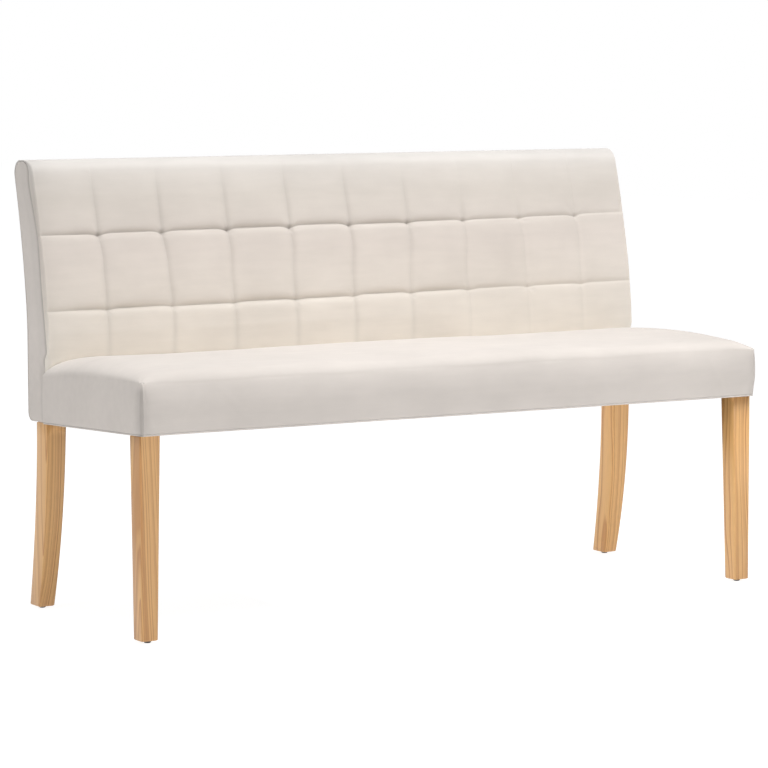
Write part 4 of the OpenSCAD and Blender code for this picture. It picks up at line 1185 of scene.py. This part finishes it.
foot_z = np.linspace(base_rear, quilt_low, 27)[:-1]
foot_line = np.stack([np.full(len(foot_z), back_foot), foot_z], axis=1)
lap_line = np.stack([skin_y - out_y * lip, skin_z - out_z * lip], axis=1)
front_side = np.concatenate([foot_line, lap_line[:crest_row + 1]])
rear_z = np.linspace(rear_roll_z, base_rear + bottom_corner_r, 60)
rear_line = np.stack([rear_y(rear_z) - cover_t, rear_z], axis=1)
rear_corner = corner_arc(bottom_corner_r - cover_t, np.linspace(0, np.pi / 2, 12))
rear_side = np.concatenate([lap_line[crest_row:], rear_line, rear_corner])[::-1]
print("front and rear line:", [round(float(run_along(line)[-1]), 3) for line in (front_side, rear_side)], "m")

# %% [markdown]
# Points at the same shares of both lines are joined across, and the rows crowd towards the crest, where
# both lines turn quickly.

# %% The grid of a strip
def by_share(line, shares):
    """Points at given shares of a line's length."""
    run = run_along(line)
    return np.stack([np.interp(shares * run[-1], run, line[:, k]) for k in range(2)], axis=1)


row_shares = np.concatenate([[0, 0.0004], 1 - (1 - np.linspace(0, 1, 150)[1:]) ** 1.25])
across_shares = (1 - np.cos(np.linspace(0, np.pi, 33))) / 2
front_points = by_share(front_side, row_shares)
rear_points = by_share(rear_side, row_shares)
across = across_shares[None, :]
strip_y = front_points[:, :1] * (1 - across) + rear_points[:, :1] * across
strip_z = front_points[:, 1:] * (1 - across) + rear_points[:, 1:] * across
strip_w = np.linalg.norm(rear_points - front_points, axis=1)[:, None]
from_seam = np.minimum(across, 1 - across) * strip_w
from_front = across * strip_w
from_foot = row_shares[:, None]
print("a strip is up to", round(float(strip_w.max()) / MM), "mm wide")

# %% [markdown]
# The strip is stuffed lightly, so it bulges between its seams. It is tucked in along the seam to the front
# cover, gathered in short puckers round the rolled top, and has a faint hem line above the foot.

# %% Relief and tone of a strip
strip_puff = 2.2 * MM
strip_sunk = 0.6 * MM
strip_t = 3 * MM
strip_roll = 16 * MM
strip_top = (back_h - 80 * MM, back_h - 30 * MM)
gather_w = 3.2 * MM
# rows of place, width and height
gathers = [(9 * MM, 8 * MM, 0.5 * MM)]
seam_tuck = [(1.8 * MM, 2.4 * MM, -1.5 * MM)]
hem_line = [(4 * MM, 1.4 * MM, -0.15 * MM)]
above_foot = strip_z - base_rear


def strip_relief(side):
    """Height over the end's plane: a flat-topped bulge between the seams, slow waves, puckers and tucks."""
    swell = strip_puff * roll_share(from_seam / strip_roll) * (0.6 + 0.4 * soft_step(from_foot, 0, 0.03))
    swell = swell * (1 - 0.6 * soft_step(from_foot, 0.9, 1.0)) - strip_sunk
    swell += drift(strip_y, strip_z, [(0.21, 0.3, 1 + side, 0.35 * MM), (0.09, 1.3, 2, 0.175 * MM)])
    swell += np.sin(from_seam / gather_w + side) * soft_step(strip_z, *strip_top) * ridges(from_seam, gathers)
    swell += ridges(from_front, seam_tuck) * soft_step(from_foot, 0.05, 0.15)
    return swell + ridges(above_foot, hem_line)


# painted shade along the front seam: above the seat in a broad band, below it close to the seat's side;
# painted light at the foot, and over the rest of the strip, where the band's darkness is taken off
seam_painted_shade = [(2.5 * MM, 3.5 * MM, 0.24)]
foot_painted_light = [(0, 7 * MM, -0.03)]
band_painted_shade = 0.045
band_fade = (26 * MM, 42 * MM)
seat_side_painted_shade = 0.12
seat_side_fade = (17 * MM, 27 * MM)
above = soft_step(strip_z, swell_low - 20 * MM, swell_low)
seam_band = ridges(from_front, seam_painted_shade) + band_painted_shade * (1 - soft_step(from_front, *band_fade))
beside_seat = seat_side_painted_shade * (1 - soft_step(from_front, *seat_side_fade))
strip_shade = above * seam_band + (1 - above) * beside_seat - band_painted_shade + ridges(above_foot, foot_painted_light)
print("strip tones from", round(float(strip_shade.min()), 3), "to", round(float(strip_shade.max()), 3))

# %% [markdown]
# Each strip is a thin closed slab: the swelling outer face, a flat inner face and a wall round both. The
# left one is laid the same way at the other end, with its faces turned so that they still point outwards.

# %% Make a boxing strip for each end
def boxing_strip(side, side_name):
    """An outer grid and the same grid flattened inside it, joined round their border."""
    outer_face = np.stack([side * (back_half_w - strip_sunk + strip_relief(side)), strip_y, strip_z], axis=-1)
    flat_face = np.stack([np.full(strip_y.shape, side * (back_half_w - strip_t)), strip_y, strip_z], axis=-1)
    rows, cols = strip_y.shape
    loop = border(rows, cols)
    ahead = np.roll(loop, -1)
    wall = np.stack([loop, loop + rows * cols, ahead + rows * cols, ahead], axis=1)
    quads = np.concatenate([grid_quads(rows, cols), grid_quads(rows, cols, start=rows * cols)[:, ::-1], wall])
    points = hang(np.concatenate([outer_face.reshape(-1, 3), flat_face.reshape(-1, 3)]))
    piece = lay_mesh("back_end_" + side_name, points, quads[:, ::side])
    paint_shade(piece, np.concatenate([strip_shade.ravel(), np.zeros(strip_shade.size)]))
    rework(piece.data, merge_close)
    dress(piece, ["back_side_strip_" + side_name], cream)


boxing_strip(-1, "left")
boxing_strip(1, "right")

# %% [markdown]
# The rear cover is one cloth drawn over a hard board and turned under at the foot. It is a sheet: the line
# down the rear, swept along the bench, lying half a millimetre slack where nothing holds it. Solidify gives
# it its thickness.

# %% Make the rear cover
tacked_in = 50 * MM  # the cloth's edge is tacked this far behind the seat
down_z = np.linspace(rear_roll_z, base_rear + bottom_corner_r, 96)
under_y = np.linspace(back_rear - bottom_corner_r, back_foot + tacked_in, 6)[1:]
cover_line = np.concatenate([
    np.stack([rear_y(down_z), down_z], axis=1),
    corner_arc(bottom_corner_r, np.linspace(0, np.pi / 2, 14)[1:]),
    np.stack([under_y, np.full(len(under_y), base_rear)], axis=1)])
run = run_along(cover_line)
middle_half_w = 670 * MM
cover_x = np.concatenate([-end_steps, np.linspace(-middle_half_w, middle_half_w, 225), end_steps[::-1]])
wide, down = np.meshgrid(cover_x, run)
held_end, held_top, held_foot = 25 * MM, 20 * MM, 40 * MM
loose = roll_share((back_half_w - np.abs(wide)) / held_end) * roll_share(down / held_top)
loose = loose * roll_share((run[-1] - down) / held_foot)
slack_t = 0.5 * MM
slack_waves = [(0.47, 0.3, 0.4, 0.4 * MM), (0.23, 1.1, 2.2, 0.25 * MM)]
slack = loose * (slack_t + drift(wide, down, slack_waves))
line_y, line_z = cover_line.T
cover_y = np.interp(down, run, line_y) - np.interp(down, run, np.gradient(line_z, run)) * slack
cover_z = np.interp(down, run, line_z) + np.interp(down, run, np.gradient(line_y, run)) * slack
rear_cover = lay_mesh("back_cloth", hang(np.stack([wide, cover_y, cover_z], axis=-1)),
                      grid_quads(len(run), len(cover_x)))
dress(rear_cover, ["back_rear_cover"], cream, thickness=cover_t)

# %% [markdown]
# ## Legs
# The legs come from the CAD nodes, with their stubs and bolt holes. Their points are merged and the small
# facets of the eased edges are shaded as curves. Sanded legs are a little fuller than drawn, by a share
# that grows from the cover down to the foot, so two cuts are made where the cover's lip hides the change.

# %% Shape of a leg
leg_weld = 0.01 * MM
lower_cut = 0.8 * MM
upper_cut = 0.2 * MM
change_span = (0.7 * MM, 0.3 * MM)  # the fuller part of a leg ends between these, under the lip
slice_t = 6 * MM


def cut_below(work, lip_z, fall):
    """Merges the loose triangles and cuts them along two planes just under the cover's falling lower edge."""
    bmesh.ops.remove_doubles(work, verts=work.verts, dist=leg_weld)
    for height in (lip_z - lower_cut, lip_z - upper_cut):
        bmesh.ops.bisect_plane(work, geom=work.verts[:] + work.edges[:] + work.faces[:], dist=leg_weld,
                               plane_co=(0, 0, height), plane_no=(0, fall, 1))


def leg_axis(place):
    """The leg's middle at each point's height: half way between the extremes of the points near it."""
    levels = np.unique(np.round(place[:, 2], 4))
    near = [place[np.abs(place[:, 2] - z) < slice_t, :2] for z in levels]
    core = np.array([(points.min(axis=0) + points.max(axis=0)) / 2 for points in near])
    return np.stack([np.interp(place[:, 2], levels, core[:, k]) for k in range(2)], axis=1)


def sanded(place, lip_z, fall, fuller, nudge):
    """Moves points out from the axis by a share, and sideways, below the cover; nothing moves above it."""
    under = place[:, 2] + place[:, 1] * fall
    stops = [0, lip_z - change_span[0], lip_z - change_span[1]]
    place[:, :2] += (place[:, :2] - leg_axis(place)) * np.interp(under, stops, [*fuller, 0])[:, None]
    place[:, :2] += np.interp(under, stops, [1, 1, 0])[:, None] * nudge
    return place


print("a front leg's cuts follow a fall of", round(float(base_drop / (seat_rear - seat_front)), 4))

# %% [markdown]
# A board's grain runs straight even where a leg is cut to a sweep, so each leg carries its own grain
# coordinates, turned, shifted and stretched as if it came from its own board, and its own tone. The tone
# holds painted light as well: the right rear leg, which stands in the seat's shade, is painted lighter.

# %% Dress the legs
def plank_grain(place, shift, turn, slant, ring_scale):
    """Turned by an angle round the leg's middle, slanted along it, shifted, and scaled to its ring width."""
    middle = (place.min(axis=0) + place.max(axis=0)) / 2
    local = place - [middle[0], middle[1], 0] + place[:, 2:] * [slant, slant / 2, 0]
    x, y, z = local.T
    turned = np.stack([x * np.cos(turn) - y * np.sin(turn), x * np.sin(turn) + y * np.cos(turn), z], axis=1)
    return (turned + shift) * [1 / ring_scale, 1 / ring_scale, ring_scale ** 2]


def pine_leg(node_name, grain, tone, fuller, nudge):
    """A merged copy of a leg node with smooth eased edges, its own grain and its own tone with painted light.
    """
    kind, side_name = node_name.rsplit("_", 1)
    is_front = kind == "front_leg"
    fall = base_drop / (seat_rear - seat_front) if is_front else 0.0
    lip_z = base_h + fall * seat_front if is_front else base_rear
    mesh = frame["nodes"][node_name].data.copy()
    mesh.name = f"{kind}_pine_{side_name}"
    rework(mesh, lambda work: cut_below(work, lip_z, fall))
    piece = link_mesh(mesh.name, mesh)
    mesh.set_sharp_from_angle(angle=np.radians(32))
    place = np.zeros(len(mesh.vertices) * 3)
    mesh.vertices.foreach_get("co", place)
    place = sanded(place.reshape(-1, 3), lip_z, fall, fuller, nudge)
    mesh.vertices.foreach_set("co", place.ravel())
    mesh.update()
    point_layer(mesh, "grain", "FLOAT_VECTOR", "vector", plank_grain(place, *grain))
    point_layer(mesh, "plank_tone_and_painted_light", "FLOAT", "value", np.full(len(place), tone))
    dress(piece, [node_name], leg_pine)


# node, grain (shift, turn, slant, ring scale), tone with painted light, fuller at the foot and at the cover,
# nudge
pine_leg("front_leg_left", ((0.0, 0.0, 0.0), 0.4, 0.03, 1.15), 0.98, (0.10, 0.08), (-2 * MM, 2 * MM))
pine_leg("front_leg_right", ((0.02, -0.01, 0.7), 0.9, 0.02, 1.6), 1.02, (0.13, 0.10), (0, 0))
pine_leg("rear_leg_left", ((0.03, 0.012, 1.3), 0.2, -0.01, 1.1), 1.05, (0.03, 0.08), (0, 0))
# the right rear leg's higher tone is painted light, for the seat's shade over it
pine_leg("rear_leg_right", ((-0.01, 0.02, 2.1), 0.7, 0.05, 1.45), 1.2, (0.03, 0.09), (0, 0))

# %% [markdown]
# ## Dust cover
# A black felt closes the seat from below. It is tacked to the rails and sags slightly between them. The
# square of felt at each front leg is left out of the grid.

# %% Make the dust cover
felt_low, felt_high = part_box("dust_cover")
leg_low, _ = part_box("front_leg_left")
felt_t = 0.6 * MM
sag_depth = 2.5 * MM
sag_reach_x = 300 * MM
sag_reach_y = 150 * MM
notch = 39 * MM + 0.2 * MM  # the leg's width and a clearance
notch_x = abs(leg_low[0]) - notch
notch_y = leg_low[1] + notch
felt_x = np.concatenate([[felt_low[0]], np.linspace(-notch_x, notch_x, 90), [felt_high[0]]])
felt_y = np.concatenate([[felt_low[1]], np.linspace(notch_y, felt_high[1], 26)])
fx, fy = np.meshgrid(felt_x, felt_y)
sag = roll_share((notch_x - np.abs(fx)) / sag_reach_x) * roll_share((fy - felt_low[1]) / sag_reach_y)
sag = sag * roll_share((felt_high[1] - fy) / sag_reach_y)
felt_z = lower_z(fy) - sag_depth * sag
quads = grid_quads(len(felt_y), len(felt_x))
row, column = np.divmod(np.arange(len(quads)), len(felt_x) - 1)
kept = (row > 0) | ((column > 0) & (column < len(felt_x) - 2))
felt = lay_mesh("dust_felt", np.stack([fx, fy, felt_z], axis=-1), quads[kept][:, ::-1])
rework(felt.data, lambda work: bmesh.ops.delete(
    work, geom=[v for v in work.verts if not v.link_faces], context="VERTS"))
dress(felt, ["dust_cover"], finishes["black_felt"], thickness=felt_t)

# %% [markdown]
# ## Floor, light and camera
# The studio is white. The floor shows pure white to the camera, to mirrors and through glass, and keeps a
# soft shadow under the legs. One test of the ray's kind tells both the floor and the world who is looking.

# %% Floor
def looked_at(add):
    """1 for camera, mirror and glass rays, 0 for the light that the studio throws on the bench."""
    ray, _ = add("LightPath", "Is Camera Ray", {})
    first = maths(add, "MAXIMUM", (ray, "Is Camera Ray"), (ray, "Is Glossy Ray"))
    return maths(add, "MAXIMUM", first, (ray, "Is Transmission Ray"))


def white_floor():
    """Scatters light and glows: strongly for rays that look at it, a little for the rest."""
    material, shader, add, feed = new_material("studio white")
    looking = looked_at(add)
    feed(shader, {"Base Color": remap(add, looking, 0, 1, 0.8, 0.36), "Roughness": 1.0,
                  "Specular IOR Level": 0.0})
    glow = add("Emission", "Emission", {"Strength": remap(add, looking, 0, 1, 0.2, 0.89)})
    both = add("AddShader", "Shader", {0: (shader, "BSDF"), 1: glow})
    feed(material.node_tree.nodes["Material Output"], {"Surface": both})
    return material


floor = lay_mesh("studio_floor", [(-14, -12, 0), (14, -12, 0), (14, 40, 0), (-14, 40, 0)], [(0, 1, 2, 3)])
floor.data.materials.append(white_floor())
print("the floor is", [round(v) for v in floor.dimensions[:2]], "m large")

# %% [markdown]
# A large soft light above and weaker ones from the front and the left leave the top brightest, then the
# back, the front and the end. A last small one stands for the light that the floor throws back under the
# seat, onto the inner sides of the right legs.

# %% World and lights
world = bpy.data.worlds.new("studio")
bpy.context.scene.world = world
world.use_nodes = True
add_sky, feed_sky = node_tools(world.node_tree)
sky_strength = remap(add_sky, looked_at(add_sky), 0, 1, 0.32, 1.0)
feed_sky(world.node_tree.nodes["Background"], {"Color": (1, 1, 1, 1), "Strength": sky_strength})


def soft_light(name, size, power, place, target):
    """A square area light that looks at a target."""
    data = bpy.data.lights.new(name, "AREA")
    data.shape = "SQUARE"
    data.size = size
    data.energy = power
    lamp = bpy.data.objects.new(name, data)
    bpy.context.scene.collection.objects.link(lamp)
    lamp.location = place
    lamp.rotation_euler = (Vector(place) - Vector(target)).to_track_quat("Z", "Y").to_euler()
    return lamp


soft_light("overhead", 2.6, 93, (0.3, -0.8, 3.2), (0, 0, 0.5))
soft_light("front_right", 1.8, 17, (2.8, -3.2, 1.1), (0, 0, 0.6))
soft_light("left_end", 1.6, 16, (-3.4, -0.6, 1.0), (-0.7, 0, 0.5))
under_seat = soft_light("under_seat", 0.3, 2.4, (-0.3, -0.12, 0.2), (0.68, -0.14, 0.34))
under_seat.visible_camera = False
under_seat.visible_glossy = False

# %% [markdown]
# The camera stands a little above the seat, to the left of the bench, with a long lens. Its place and its
# three turns were fitted so that the seat's and the legs' corners fall where the picture has them.

# %% Camera
yaw = np.radians(31.464)
pitch_down = np.radians(5.417)
camera_roll = np.radians(-0.131)
camera_data = bpy.data.cameras.new("view")
camera_data.sensor_width = 36
camera_data.lens = 146.4
camera_data.dof.use_dof = False
camera = bpy.data.objects.new("view", camera_data)
bpy.context.scene.collection.objects.link(camera)
camera.location = (-3.25848, -5.29789, 1.01121)
look = Vector((np.sin(yaw) * np.cos(pitch_down), np.cos(yaw) * np.cos(pitch_down), -np.sin(pitch_down)))
aim = look.to_track_quat("-Z", "Y").to_matrix().to_4x4()
camera.rotation_euler = (aim @ Matrix.Rotation(float(camera_roll), 4, "Z")).to_euler()
bpy.context.scene.camera = camera
bpy.context.scene.view_settings.view_transform = "Standard"
print("camera at", [round(v, 2) for v in camera.location], "with a lens of", round(camera_data.lens, 1), "mm")
